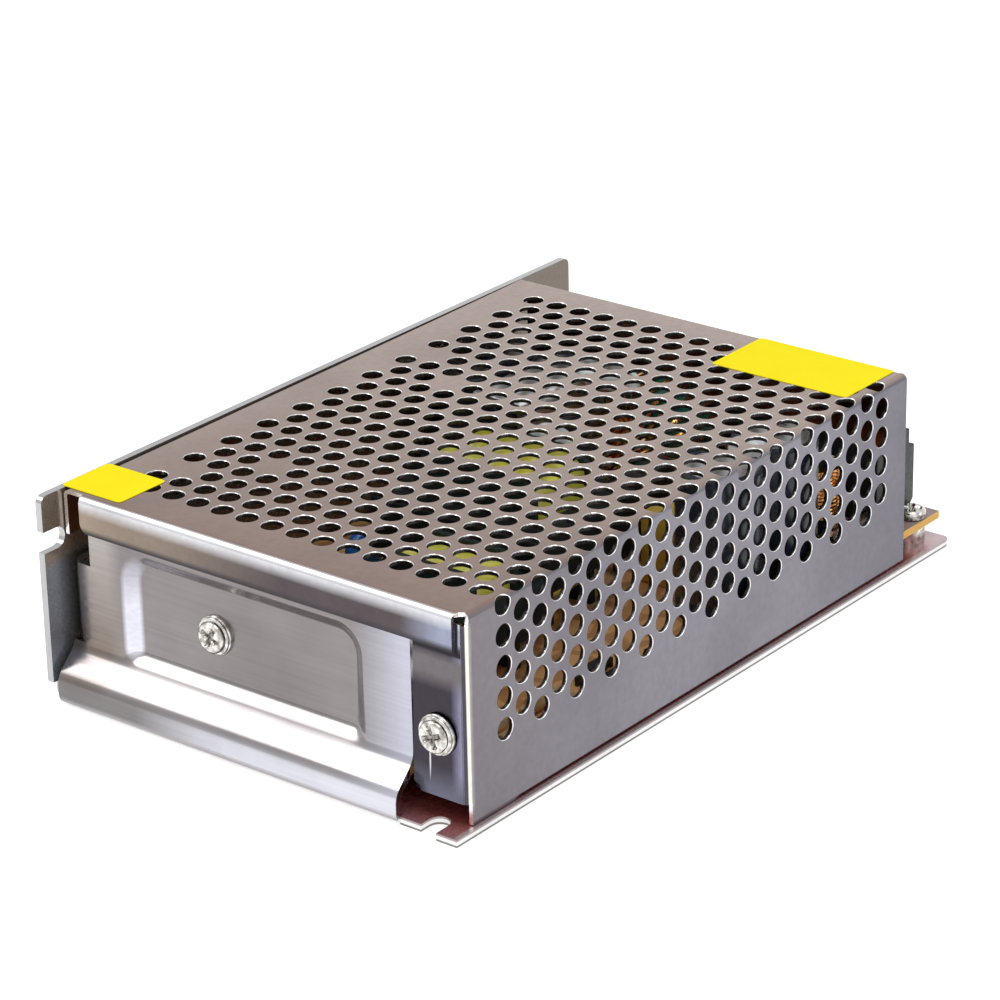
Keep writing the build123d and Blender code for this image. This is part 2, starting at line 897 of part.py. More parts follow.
def wound_ring(size, place, x, inset):
    """A ring around the core's middle leg, between two X values and set in from the window's edge."""
    middle = core_middle(size)
    reach = core_window(size)[1] - inset
    rise = winding_rise(size, reach)
    leg = core_leg_share * size[0] + winding_play
    leg_rise = size[2] / 2 + winding_play
    y = place[1]
    z = (middle - rise, middle + rise)
    ring = eased_bar(x, (y - reach, y + reach), z, Axis.X, winding_corner_share * (reach - leg))
    return ring - block((x[0] - 1, x[1] + 1), (y - leg, y + leg), (middle - leg_rise, middle + leg_rise))


def bobbin(size, place):
    """The bobbin's two end flanges, each with a foot on the board."""
    reach_x, reach_y = core_window(size)
    parts = []
    for sign in (-1, 1):
        outer = place[0] + sign * reach_x
        inner = outer - sign * bobbin_flange
        x = (min(outer, inner), max(outer, inner))
        flange = wound_ring(size, place, x, 0)
        foot_top = core_middle(size) - winding_rise(size, reach_y) + 1
        parts.append(flange + block(x, (place[1] - reach_y, place[1] + reach_y), (board_top, foot_top)))
    return joined(*parts)


def winding(size, place):
    """The taped winding between the bobbin's flanges."""
    reach = core_window(size)[0] - bobbin_flange
    return wound_ring(size, place, (place[0] - reach, place[0] + reach), bobbin_rim)


def can(place, radius, tall):
    """A round capacitor in its sleeve."""
    return post(*place, (board_top, board_top + tall), radius, few_sides)


def cans(places, radius, tall):
    return joined(*[can(place, radius, tall) for place in places])


def output_capacitors():
    """The output capacitors, under the cover's wall flange."""
    tall = height - wall_flange_depth - output_flange_gap - board_top
    return cans(output_places, output_r, tall)


def heatsink():
    """The folded aluminium sheet behind the output rectifier."""
    y = sink_y * across
    points = [(y, board_top), (y, sink_top), (y + sink_flange * across, sink_top)]
    section = folded_sheet(points, sink_bend, sink_sheet, Side.RIGHT)
    return Pos(sink_start * along, 0, 0) * extrude(Plane.YZ * section, sink_length * along)


def tab_transistor():
    """A flat power package against the plane X 0: metal tab, moulded body and three leads down to Z 0."""
    wide, tall, deep = tab_package
    lift = package_tab_rise
    tab = block((0, package_tab_thickness), (-wide / 2, wide / 2), (lift, lift + tall))
    body_z = (lift, lift + package_body_share * tall)
    body = block((package_tab_bared, deep), (-wide / 2, wide / 2), body_z)
    package = tab + body
    for index in (-1, 0, 1):
        y = index * lead_pitch
        half = lead_thickness / 2
        package += block((deep / 2, deep / 2 + lead_thickness), (y - half, y + half), (0, lift + 1))
    return package


def output_rectifier():
    """The output rectifier, on a pad's thickness from its heatsink."""
    turned = Rot(0, 0, -90) * tab_transistor()
    x, y = spot((sink_start + sink_length / 2, sink_y))
    return Pos(x, y - pad_thickness, board_top) * turned


def transistor_face():
    """Where the switching transistors' tabs lie, behind the recess and their pad."""
    return recess_back + pad_thickness


def switching_transistors():
    offset_y = tab_package[0] / 2 + head_radius + package_head_gap
    places = [clamp_screw_y() + sign * offset_y for sign in (-1, 1)]
    return joined(*[Pos(transistor_face(), y, board_top) * tab_transistor() for y in places])


def transistor_pad():
    """The insulating pad between the transistors and the end plate."""
    half = tab_package[0] + head_radius + pad_margin
    foot = board_top + package_tab_rise
    z = (foot - pad_rim, foot + tab_package[1] + pad_rim)
    y = clamp_screw_y()
    pad = block((recess_back, transistor_face()), (y - half, y + half), z)
    return pad - screw_hole(Plane.YZ, (0, y, clamp_screw_z()), 2 * recess_back)


def clamp_bar():
    """The bar that the clamp screw pulls against both transistors."""
    back = transistor_face() + tab_package[2]
    half = tab_package[0] + head_radius + clamp_bar_margin
    y, z = clamp_screw_y(), clamp_screw_z()
    tall = (z - clamp_bar_height / 2, z + clamp_bar_height / 2)
    bar = eased_bar((back, back + clamp_bar_thickness), (y - half, y + half), tall, Axis.X, clamp_bar_corner)
    return bar - screw_hole(Plane.YZ, (0, y, z), 2 * back)


def choke_core():
    """The output choke's ring, standing on its edge."""
    x, y = spot(choke_place)
    outer, inner, wide = choke_sizes()
    z = board_top + outer
    ring = rod(Plane.YZ, (x - wide / 2, y, z), wide, outer, few_sides)
    return ring - rod(Plane.YZ, (x - wide, y, z), 2 * wide, around(inner, few_sides), few_sides)


def choke_sizes():
    """The ring's outer radius, bore radius and width."""
    return choke_radius * evenly, choke_bore * evenly, choke_width * along


def choke_winding():
    """The wire round the ring, as one turn after another with the gap at its foot."""
    x, y = spot(choke_place)
    outer, inner, ring_width = choke_sizes()
    ring_middle = (outer + inner) / 2
    tall = outer - inner + 2 * choke_play
    wide = ring_width + 2 * choke_play
    turn = Box(wide + 2 * choke_wire, choke_wire, tall + 2 * choke_wire) - Box(wide, 2 * choke_wire, tall)
    turns = []
    for index in range(choke_turns):
        angle = ((index + 0.5) / choke_turns - 0.5) * choke_arc
        seat = Pos(x, y, board_top + outer) * Rot(angle, 0, 0) * Pos(0, 0, ring_middle)
        turns.append(seat * turn)
    return joined(*turns)


def line_choke_legs():
    """The middles of the line choke's two upright legs."""
    x, y = spot(line_choke_place)
    offset = (line_core_width * across - line_core_leg) / 2
    return [(x, y - offset), (x, y + offset)]


def line_choke_core():
    """The line choke's upright rectangular core."""
    x, y = spot(line_choke_place)
    half = line_core_width * across / 2
    z0 = board_top + line_base_height
    z1 = z0 + line_core_height * upward
    core_x = (x - line_core_leg / 2, x + line_core_leg / 2)
    ring = eased_bar(core_x, (y - half, y + half), (z0, z1), Axis.X, line_core_cut)
    inner = half - line_core_leg
    window_z = (z0 + line_core_leg, z1 - line_core_leg)
    return ring - block((core_x[0] - 1, core_x[1] + 1), (y - inner, y + inner), window_z)


def line_choke_windings():
    """The two copper coils, one round each leg."""
    z0 = board_top + line_base_height + line_core_leg + line_coil_play
    z1 = board_top + line_base_height + line_core_height * upward - line_core_leg - line_coil_play
    half = line_core_leg / 2 + line_coil_play
    coils = []
    for x, y in line_choke_legs():
        coil = post(x, y, (z0, z1), line_coil_radius * evenly, few_sides)
        coils.append(coil - block((x - half, x + half), (y - half, y + half), (z0 - 1, z1 + 1)))
    return joined(*coils)


def line_choke_base():
    """The moulded foot that the line choke's core stands on."""
    x, y = spot(line_choke_place)
    half_x = line_coil_radius * evenly
    half_y = line_core_width * across / 2 + line_base_rim
    z = (board_top, board_top + line_base_height)
    return eased_bar((x - half_x, x + half_x), (y - half_y, y + half_y), z, Axis.Z, line_core_cut)


def fuse_centre():
    return (fuse_x * along, board_near + fuse_side_gap, board_top + fuse_rise)


def fuse_tube():
    x, y, z = fuse_centre()
    reach = fuse_length * along - 2 * fuse_cap
    return rod(Plane.YZ, (x - reach / 2, y, z), reach, fuse_tube_radius, few_sides)


def fuse_caps():
    x, y, z = fuse_centre()
    half = fuse_length * along / 2
    starts = (x - half, x + half - fuse_cap)
    return joined(*[rod(Plane.YZ, (start, y, z), fuse_cap, fuse_radius, few_sides) for start in starts])


def fuse_clips():
    """The two spring clips that hold the fuse's caps above the board."""
    x, y, z = fuse_centre()
    half = fuse_clip_width / 2
    clips = []
    for sign in (-1, 1):
        middle = x + sign * (fuse_length * along - fuse_cap) / 2
        clip_x = (middle - fuse_clip_length / 2, middle + fuse_clip_length / 2)
        clip = block(clip_x, (y - half, y + half), (board_top, z + fuse_radius / 2))
        clip -= rod(Plane.YZ, (clip_x[0] - 1, y, z), fuse_length, fuse_radius, few_sides)
        mouth_x = (clip_x[0] - 1, clip_x[1] + 1)
        clip -= block(mouth_x, (y - half / 2, y + half / 2), (z, height))
        clips.append(clip)
    return joined(*clips)


def disc(place, radius, along_x):
    """A dipped disc on two leads, standing on edge."""
    x, y = spot(place)
    radius = radius * evenly
    z = board_top + disc_rise + radius
    half = disc_thickness / 2
    plane = Plane.YZ if along_x else Plane.XZ
    start = (x - half, y, z) if along_x else (x, y + half, z)
    body = rod(plane, start, disc_thickness, radius, few_sides)
    for sign in (-1, 1):
        lead_x = x if along_x else x + sign * radius / 2
        lead_y = y + sign * radius / 2 if along_x else y
        body += lead(lead_x, lead_y, z - radius / 2)
    return body


def lead(x, y, top):
    """A square lead from the board up to a height."""
    thin = wire_thickness / 2
    return block((x - thin, x + thin), (y - thin, y + thin), (board_top, top))


def film_capacitor():
    x, y, tall = film_box
    return block(stretched(x, along), stretched(y, across), (board_top, board_top + tall * upward))


def bridge_rectifier():
    """A flat moulded bridge, one corner cut to mark its plus lead, on four leads."""
    x, y = stretched(bridge_box[0], along), stretched(bridge_box[1], across)
    z = (board_top + bridge_rise, board_top + bridge_rise + bridge_box[2] * upward)
    body = block(x, y, z)
    corner = body.edges().filter_by(Axis.Y).sort_by(Axis.Z)[-2:].sort_by(Axis.X)[0]
    body = chamfer(corner, bridge_chamfer)
    for index in range(4):
        lead_x = x[0] + (x[1] - x[0]) * (index + 0.5) / 4
        body += lead(lead_x, (y[0] + y[1]) / 2, z[0] + 1)
    return body


def control_chip():
    """The control chip with a row of leads down each long side."""
    x, y = stretched(chip_box[0], along), stretched(chip_box[1], across)
    tall = chip_box[2]
    body = block(x, y, (board_top + chip_lift, board_top + tall))
    pitch = (x[1] - x[0]) / chip_leads
    for index in range(chip_leads):
        middle = x[0] + pitch * (index + 0.5)
        lead_x = (middle - chip_lead_width / 2, middle + chip_lead_width / 2)
        lead_y = (y[0] - chip_lead_reach, y[1] + chip_lead_reach)
        body += block(lead_x, lead_y, (board_top, board_top + tall / 2))
    return body


def axial(place, radius, long):
    """A small round part lying along X, with a bent lead at each end."""
    x, y = place[0] * along, place[1]
    z = board_top + radius
    thin = wire_thickness / 2
    reach = long / 2 + lead_reach
    body = rod(Plane.YZ, (x - long / 2, y, z), long, radius, shank_sides)
    body += block((x - reach, x + reach), (y - thin, y + thin), (z - thin, z + thin))
    return body + lead(x - reach, y, z + thin) + lead(x + reach, y, z + thin)


def axials(places, radius, long):
    return joined(*[axial(place, radius, long) for place in places])


def jumper(place):
    """A wire bridge between two points of the board."""
    x, y = spot(place)
    thin = wire_thickness / 2
    top = board_top + jumper_rise
    half = jumper_length / 2
    wire = block((x - half, x + half), (y - thin, y + thin), (top - wire_thickness, top))
    return wire + lead(x - half, y, top) + lead(x + half, y, top)


def sticker_sheet(x, y):
    return block(x, y, (height, height + sticker))


def small_sticker():
    y = [width - gap for gap in small_sticker_from_wall]
    return sticker_sheet(small_sticker_x, y)


def large_sticker():
    x = [cover_front - gap for gap in large_sticker_from_front]
    return sticker_sheet(x, large_sticker_y)


pieces = {
    "chassis": chassis,
    "cover": cover,
    "cover_screw": cover_screw,
    "wall_screws": wall_screws,
    "clamp_screw": clamp_screw,
    "small_sticker": small_sticker,
    "large_sticker": large_sticker,
    "circuit_board": circuit_board,
    "board_standoffs": board_standoffs,
    "board_screws": board_screws,
    "terminal_block": terminal_block,
    "terminal_plates": terminal_plates,
    "terminal_screws": terminal_screws,
    "trimmer_base": trimmer_base,
    "trimmer_rotor": trimmer_rotor,
    "indicator_lamp": indicator_lamp,
    "fuse_tube": fuse_tube,
    "fuse_caps": fuse_caps,
    "fuse_clips": fuse_clips,
    "varistor": lambda: disc(varistor_place, varistor_radius, True),
    "thermistor": lambda: disc(thermistor_place, thermistor_radius, True),
    "film_capacitor": film_capacitor,
    "line_choke_core": line_choke_core,
    "line_choke_windings": line_choke_windings,
    "line_choke_base": line_choke_base,
    "bridge_rectifier": bridge_rectifier,
    "bulk_capacitors": lambda: cans(spots(bulk_places), bulk_radius * evenly, bulk_height * upward),
    "switching_transistors": switching_transistors,
    "transistor_pad": transistor_pad,
    "clamp_bar": clamp_bar,
    "main_core": lambda: e_core(main_size, spot(main_place)),
    "main_bobbin": lambda: bobbin(main_size, spot(main_place)),
    "main_winding": lambda: winding(main_size, spot(main_place)),
    "driver_core": lambda: e_core(driver_size, spot(driver_place)),
    "driver_bobbin": lambda: bobbin(driver_size, spot(driver_place)),
    "driver_winding": lambda: winding(driver_size, spot(driver_place)),
    "heatsink": heatsink,
    "output_rectifier": output_rectifier,
    "choke_core": choke_core,
    "choke_winding": choke_winding,
    "output_capacitors": output_capacitors,
    "control_chip": control_chip,
    "small_capacitors": lambda: cans(spots(small_places), small_radius * evenly, small_height * upward),
    "disc_capacitor": lambda: disc(disc_place, disc_radius, False),
    "resistors": lambda: axials(resistor_places, resistor_radius, resistor_length),
    "diodes": lambda: axials(diode_places, diode_radius, diode_length),
    "jumpers": lambda: joined(*[jumper(place) for place in jumper_places]),
}

for name, make in pieces.items():
    save(name, make())
    print(name)
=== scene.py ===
import math

import bmesh
import bpy
from mathutils import Matrix, Vector, geometry, kdtree, noise


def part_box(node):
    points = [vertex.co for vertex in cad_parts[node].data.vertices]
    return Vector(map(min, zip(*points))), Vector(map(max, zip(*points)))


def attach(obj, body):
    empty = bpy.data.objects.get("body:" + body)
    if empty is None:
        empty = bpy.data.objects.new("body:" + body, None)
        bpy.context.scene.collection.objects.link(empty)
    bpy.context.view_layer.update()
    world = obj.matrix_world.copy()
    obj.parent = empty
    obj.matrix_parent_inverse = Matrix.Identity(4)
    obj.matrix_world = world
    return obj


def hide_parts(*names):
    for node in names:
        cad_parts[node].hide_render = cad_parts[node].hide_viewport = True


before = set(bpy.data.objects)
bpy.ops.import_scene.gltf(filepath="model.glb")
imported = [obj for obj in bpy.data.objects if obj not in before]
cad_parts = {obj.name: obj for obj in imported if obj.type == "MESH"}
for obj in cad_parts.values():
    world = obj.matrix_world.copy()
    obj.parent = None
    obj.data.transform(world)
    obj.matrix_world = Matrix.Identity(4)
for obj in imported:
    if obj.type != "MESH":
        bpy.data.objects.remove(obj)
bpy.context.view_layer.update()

# Looks of an enclosed power supply. Sizes are in millimetres from the rear corner beside the perforated
# side, as in the part's source, and at() turns them into the frame's metres.
MM = 0.001
LENGTH = 160.0
WIDTH = 98.0
HEIGHT = 42.0

# Camera, as fitted to the photograph
CAMERA_PLACE = (-0.5342, -0.4231, 0.3172)
CAMERA_HEADING = 38.6237
CAMERA_DIP = 23.1725
CAMERA_ROLL = 1.2556
CAMERA_LENS = 138.485
CAMERA_SENSOR = 36

# Light: what the world and the floor give, besides looking white
WORLD_LIGHT = 0.5
FLOOR_GLOW = 0.62
FLOOR_SIZE = 4.0
FLOOR_DROP = 0.0002

# Chassis sheet
CHASSIS_SHEET = 1.5
CHASSIS_BEND = 2.2
CORNER_ROUNDING = 1.6
SLOT_WIDTH = 4.2
SLOT_DEPTH = 5.6
BASE_SLOT_Y = 6.75
WALL_SLOT_Z = HEIGHT - 9.2
TAB_SETBACK = 1.0
BASE_HOLES = ((20.0, 21.0), (140.0, 21.0), (20.0, 77.0), (140.0, 77.0))
BASE_HOLE_RADIUS = 1.6
WALL_SCREWS = ((30.3, 37.0), (117.7, 37.0))
WALL_HOLE_RADIUS = 2.85
PLATE_X = 5.2
PLATE_NEAR = 13.6
PLATE_FAR = 95.4
PLATE_TOP = 40.5
NOTCH_Y = 90.1
NOTCH_Z = 28.0
EAR_Z = 11.9
EAR_BEND = 3.0
EAR_REACH = 9.0
SKIRT_HEIGHT = 5.8
COVE_TOP = 11.0
COVE_BEND = 4.0
RECESS_Y = (23.9, 82.8)
RECESS_TOP = 34.2
RECESS_FOOT = 10.8
RECESS_DEPTH = 1.8
RECESS_SLOPE = 4.1
RECESS_FOOT_SLOPE = 2.2
RECESS_CORNER = 7.0
GRID_STEP = 0.7

# Cover sheet
COVER_SHEET = 0.8
COVER_BEND = 1.4
COVER_REAR = 4.3
COVER_START = COVER_REAR + COVER_BEND
COVER_FRONT = 143.7
COVER_SIDE = 0.9
COVER_FAR = 96.2
COVER_TOP_RUN = COVER_FAR - COVER_SIDE
COVER_FLOOR = 2.2
WALL_FLANGE = 9.0
LIP_DEPTH = 7.2
LIP_FOOT = HEIGHT - LIP_DEPTH
LIP_NEAR = 2.6
LIP_FAR = 5.0
FLANGE_REACH = 11.9
FLANGE_Z = (6.0, 40.0)
FLANGE_CORNER = 2.0
EAR_FOOT_X = 17.3
EAR_FOOT_Z = 1.7
EAR_FOOT_SLANT = 1.5
# Relief cuts where two bends meet: at the rear corner beside the lip, and beside the front fold
LIP_RELIEF = 0.5
CORNER_RELIEF = (0.6, 1.2)
APRON_RELIEF = 0.9
# The side flange steps in to pass behind the lip
TUCK_BELOW = 0.9
TUCK_BESIDE = 2.2
TUCK_RUN = 0.8
TUCK_SHIFT = COVER_SHEET * 1.05
# Front fold of the cover's top, above the terminal block
APRON_DEPTH = 16.6
APRON_MARGIN = 1.7
APRON_BEND = 0.6

# Perforation
HOLE_PITCH = 6.0
HOLE_RADIUS = 2.1
HOLE_SEGMENTS = 22
HOLE_COLUMNS = 24
FIRST_COLUMN = COVER_REAR + 11.0
COLUMN_STEP = HOLE_PITCH * math.sqrt(3) / 2
TOP_ROWS = (14, 15)
SIDE_ROWS = (5, 4)
FIRST_TOP_HOLE = 1.6
FIRST_SIDE_HOLE = 1.4
UNPUNCHED = {(2, 13), (16, 13), (4, 11), (14, 11)}
RIM_MARGIN = 0.06
RIM_TOUCH = 0.02
FLAT_WELD = 1e-5

# Materials of a folded sheet, in their order on its mesh
OUTER, CUT, INNER, TORN, ROLLED = range(5)
# How a hole is rounded: steps of extra radius, depth from the outer face, and the wall's material below
PUNCH_STEPS = ((0.13, 0.0, ROLLED), (0.07, 0.035, ROLLED), (0.02, 0.10, ROLLED), (0.0, 0.24, TORN))
BORE_STEPS = ((0.1, 0.0, CUT), (0.0, 0.2, CUT), (0.0, 0.8, CUT))

# Screws
HEAD_HEIGHT = 1.0
HEAD_RADIUS = 3.1
HEAD_DOME = 0.12
HEAD_SEGMENTS = 48
HEAD_RINGS = 14
NECK = ((0.0, 0.25), (0.35, 0.22), (0.35, 0.0))
WASHER_RADIUS = 3.9
WASHER_STEP = 0.25
WASHER_THICKNESS = 1.0
WASHER_BORE = 1.6
WASHER_EDGE = 0.1
FLUSH_RADIUS = 2.75
FLUSH_HEIGHT = 1.2
SHANK_RADIUS = 1.5
SHANK_BORE = 0.3
CROSS_REACH = 0.70
CROSS_WIDTH = 0.19
CROSS_FLANK = 0.25
CROSS_SHADE_DEPTH = 0.3
SCREW_SHARP = 60

# Capacitors, discs, coils, glue and stickers
CAN_EDGE = 0.3
CAN_GROOVE = 0.4
CAN_GROOVE_SHARES = (0.10, 0.12, 0.14, 0.16)
CAN_SHOULDER = 0.7
CAN_RIM_SHARES = (0.84, 0.82)
CAN_SINK = 0.2
LEAD_RADIUS = 0.4
LEAD_END_SHARE = 0.6
WIRE_SIDES = 8
WIRE_CORNER = 1.2
CHOKE_TURNS = 26
CHOKE_ARC = 300.0
CHOKE_BORE = 6.5
CHOKE_WIRE = 0.55
COIL_WIRE = 0.4
COIL_BORE = 3.2
GLUE_SWELL = 0.28
GLUE_WAVES = 1.6
STICKER_CORNER = 0.8


def at(x, y, z):
    """A place in the frame's metres."""
    return Vector(((x - LENGTH / 2) * MM, (y - WIDTH / 2) * MM, z * MM))


def ease(value):
    """A smooth step from 0 to 1."""
    value = min(max(value, 0.0), 1.0)
    return value * value * (3 - 2 * value)


# Materials. Colours are linear; places are in the part's millimetres and directions from -1 to 1.
NOISE_SPAN = (0.3, 0.7)
STAIN_SCALE = 35
STAIN_SPAN = (0.45, 0.75)
STAIN_TINT = (0.80, 0.79, 0.80)
GRAIN_SPAN = (0.35, 0.65)
GRAIN_TINT = (0.93, 0.93, 0.93)
BRUSHED_ALONG = {"X": (0.02, 1, 1), "Y": (1, 0.02, 1)}


def new_material(name):
    material = bpy.data.materials.new(name)
    material.use_nodes = True
    return material, material.node_tree, material.node_tree.nodes["Principled BSDF"]


def noise_node(tree, scale, stretch=(1, 1, 1), detail=3.0):
    """Noise with so many features to a metre, stretched along the axes."""
    place = tree.nodes.new("ShaderNodeTexCoord")
    mapping = tree.nodes.new("ShaderNodeMapping")
    mapping.inputs["Scale"].default_value = stretch
    texture = tree.nodes.new("ShaderNodeTexNoise")
    texture.inputs["Scale"].default_value = scale
    texture.inputs["Detail"].default_value = detail
    tree.links.new(place.outputs["Object"], mapping.inputs["Vector"])
    tree.links.new(mapping.outputs["Vector"], texture.inputs["Vector"])
    return texture.outputs["Fac"]


def spread(tree, value, low, high, out_low=0, out_high=1):
    """A value's range mapped on to another."""
    node = tree.nodes.new("ShaderNodeMapRange")
    for name, number in zip(("From Min", "From Max", "To Min", "To Max"), (low, high, out_low, out_high)):
        node.inputs[name].default_value = number
    tree.links.new(value, node.inputs["Value"])
    return node.outputs["Result"]


def mixed(tree, factor, first, second, blend="MIX"):
    """A colour between two, or one multiplied by the other, by a factor."""
    node = tree.nodes.new("ShaderNodeMix")
    node.data_type = "RGBA"
    node.blend_type = blend
    for socket, colour in ((node.inputs[6], first), (node.inputs[7], second)):
        if isinstance(colour, bpy.types.NodeSocket):
            tree.links.new(colour, socket)
        else:
            socket.default_value = (*colour, 1)
    tree.links.new(factor, node.inputs["Factor"])
    return node.outputs[2]


def combined(tree, operation, first, *others):
    """Factors put together one after another."""
    for other in others:
        node = tree.nodes.new("ShaderNodeMath")
        node.operation = operation
        tree.links.new(first, node.inputs[0])
        tree.links.new(other, node.inputs[1])
        first = node.outputs[0]
    return first


def coordinate(tree, kind, axis):
    """One axis of the object's own place or direction."""
    place = tree.nodes.new("ShaderNodeTexCoord")
    split = tree.nodes.new("ShaderNodeSeparateXYZ")
    tree.links.new(place.outputs[kind], split.inputs["Vector"])
    return split.outputs[axis]


def ramp_along(tree, axis, start, end):
    """A factor that runs from 0 to 1 between two places on an axis."""
    middle = {"X": LENGTH / 2, "Y": WIDTH / 2, "Z": 0.0}[axis]
    return spread(tree, coordinate(tree, "Object", axis), (start - middle) * MM, (end - middle) * MM)


def facing_axis(tree, axis, start, end):
    """A factor from 0 to 1 as the surface turns towards an axis."""
    return spread(tree, coordinate(tree, "Normal", axis), start, end)


def where(tree, *ramps):
    """The product of ramps along axes."""
    return combined(tree, "MULTIPLY", *[ramp_along(tree, *ramp) for ramp in ramps])


def turned(tree, *ramps):
    """The product of turns towards axes."""
    return combined(tree, "MULTIPLY", *[facing_axis(tree, *ramp) for ramp in ramps])


def layered(tree, ground, *layers):
    """A colour with others laid over it: each grows between two places on an axis."""
    for *ramp, colour in layers:
        ground = mixed(tree, ramp_along(tree, *ramp), ground, colour)
    return ground


def grained(tree, shader, fine, roughness, height, relief, depth):
    """Give a shader a roughness that follows a fine noise, and a relief."""
    bump = tree.nodes.new("ShaderNodeBump")
    bump.inputs["Strength"].default_value = relief
    bump.inputs["Distance"].default_value = depth * MM
    tree.links.new(height, bump.inputs["Height"])
    tree.links.new(bump.outputs["Normal"], shader.inputs["Normal"])
    tree.links.new(spread(tree, fine, *NOISE_SPAN, *roughness), shader.inputs["Roughness"])


def surface(name, colour, other, roughness, metallic=0.0, scale=200.0, stretch=(1, 1, 1), grain=900.0,
            grain_stretch=(1, 1, 1), relief=0.2, **sockets):
    """A material whose colour wanders between two, with its own grain and roughness."""
    material, tree, shader = new_material(name)
    patches = spread(tree, noise_node(tree, scale, stretch), *NOISE_SPAN)
    fine = noise_node(tree, grain, grain_stretch, 4.0)
    tree.links.new(mixed(tree, patches, colour, other), shader.inputs["Base Color"])
    grained(tree, shader, fine, roughness, fine, relief, 0.05)
    shader.inputs["Metallic"].default_value = metallic
    for socket, value in sockets.items():
        shader.inputs[socket.replace("_", " ")].default_value = value
    return material


def sheet_finish(name, colour, roughness, grain, relief, metallic=1.0, grain_stretch=(1, 1, 1)):
    """A worn metal sheet, of one colour or of one worked out from place and direction."""
    material, tree, shader = new_material(name)
    shader.inputs["Metallic"].default_value = metallic
    fine = noise_node(tree, grain, grain_stretch, 4.0)
    stains = spread(tree, noise_node(tree, STAIN_SCALE, detail=5.0), *STAIN_SPAN)
    colour = colour(tree) if callable(colour) else colour
    colour = mixed(tree, stains, colour, STAIN_TINT, "MULTIPLY")
    colour = mixed(tree, spread(tree, fine, *GRAIN_SPAN), colour, GRAIN_TINT, "MULTIPLY")
    tree.links.new(colour, shader.inputs["Base Color"])
    grained(tree, shader, fine, roughness, fine, relief, 0.02)
    return material


def rear_fold_reflections_and_scratches(tree):
    """The lip and the side flange in painted reflections: dark, bluish beside the bends and browner towards
    the wall, with a painted highlight and painted shade on the lip, painted shadows beside and under it,
    and real scratches.
    """
    # Painted reflections on the lip: bluish at its near end and browner towards the wall, painted shade
    # along its foot, and a painted highlight on its bend.
    lip = layered(
        tree, (0.090, 0.075, 0.080),
        ("Y", 42, 88, (0.30, 0.24, 0.19)),
        ("Y", 15, 6, (0.28, 0.30, 0.40)),
        ("Z", LIP_FOOT + 1.3, LIP_FOOT + 0.3, (0.06, 0.055, 0.06)),
        ("Z", 38.6, 40.9, (0.62, 0.62, 0.65)))
    # Painted reflections on the flange: dark, bluish beside the bend and lighter low down.
    flange = layered(
        tree, (0.048, 0.041, 0.052),
        ("Y", 4.4, 2.0, (0.24, 0.23, 0.33)),
        ("Z", 12, 7, (0.12, 0.12, 0.16)))
    # Painted sheen: a lighter band across the flange below the lip.
    painted_sheen = where(tree, ("Z", 26.5, 29.5), ("Z", 34.0, 32.0))
    # Painted shadow: a dark band on the flange just under the lip's foot.
    fold = layered(
        tree, mixed(tree, painted_sheen, flange, (0.15, 0.135, 0.145)),
        ("Z", LIP_FOOT - 1.4, LIP_FOOT - 1.0, (0.03, 0.028, 0.032)),
        ("Z", LIP_FOOT - 0.15, LIP_FOOT - 0.05, lip))
    # Painted shadow: a dark line on the flange beside the lip's near end.
    end = COVER_SIDE + LIP_NEAR
    painted_gap_shadow = where(tree, ("Y", end + 0.05, end - 0.05), ("Y", end - 0.9, end - 0.6),
                ("Z", LIP_FOOT - 1.0, LIP_FOOT - 0.5))
    fold = mixed(tree, painted_gap_shadow, fold, (0.02, 0.02, 0.025))
    scratches = spread(tree, noise_node(tree, 700, (1, 1, 0.04), 2.0), 0.68, 0.74)
    return mixed(tree, scratches, fold, (0.62, 0.60, 0.62))


def rim_painted_highlight(tree):
    """The rolled rim of a punched hole, with a painted highlight where it turns to the light and painted
    shade elsewhere.
    """
    rim = mixed(tree, facing_axis(tree, "X", -0.10, -0.40), (0.06, 0.05, 0.05), (0.97, 0.97, 0.98))
    return mixed(tree, turned(tree, ("Z", 0.10, 0.35), ("Y", -0.3, -0.6)), rim, (0.85, 0.85, 0.86))


def cover_colours(tree):
    """Painted reflections: browner on top, cooler down the side, and painted highlights and a painted dark
    line where the sheet turns at the rear.
    """
    # One sheet all round: the browner top, the cooler side and their gradients along X are painted
    # reflections.
    top = layered(tree, (0.265, 0.185, 0.160), ("X", 5, 95, (0.375, 0.290, 0.255)))
    side = layered(tree, (0.185, 0.170, 0.185), ("X", 5, 60, (0.225, 0.215, 0.245)),
                   ("X", 105, 143, (0.165, 0.158, 0.185)))
    colour = mixed(tree, facing_axis(tree, "Z", 0.5, 0.9), side, top)
    rear = ramp_along(tree, "X", 6.6, 5.8)
    # Painted highlights on the rear bends, and a painted dark line between them.
    for painted_bend_light, *turns in (
            ((0.80, 0.80, 0.84), ("X", -0.25, -0.6), ("Z", 0.05, 0.2)),
            ((0.76, 0.74, 0.68), ("X", -0.02, -0.10), ("X", -0.62, -0.50), ("Y", -0.3, -0.6)),
            ((0.07, 0.065, 0.08), ("X", -0.5, -0.62), ("Y", -0.2, -0.4))):
        colour = mixed(tree, combined(tree, "MULTIPLY", turned(tree, *turns), rear), colour, painted_bend_light)
    return mixed(tree, facing_axis(tree, "X", -0.88, -0.97), colour, rear_fold_reflections_and_scratches(tree))


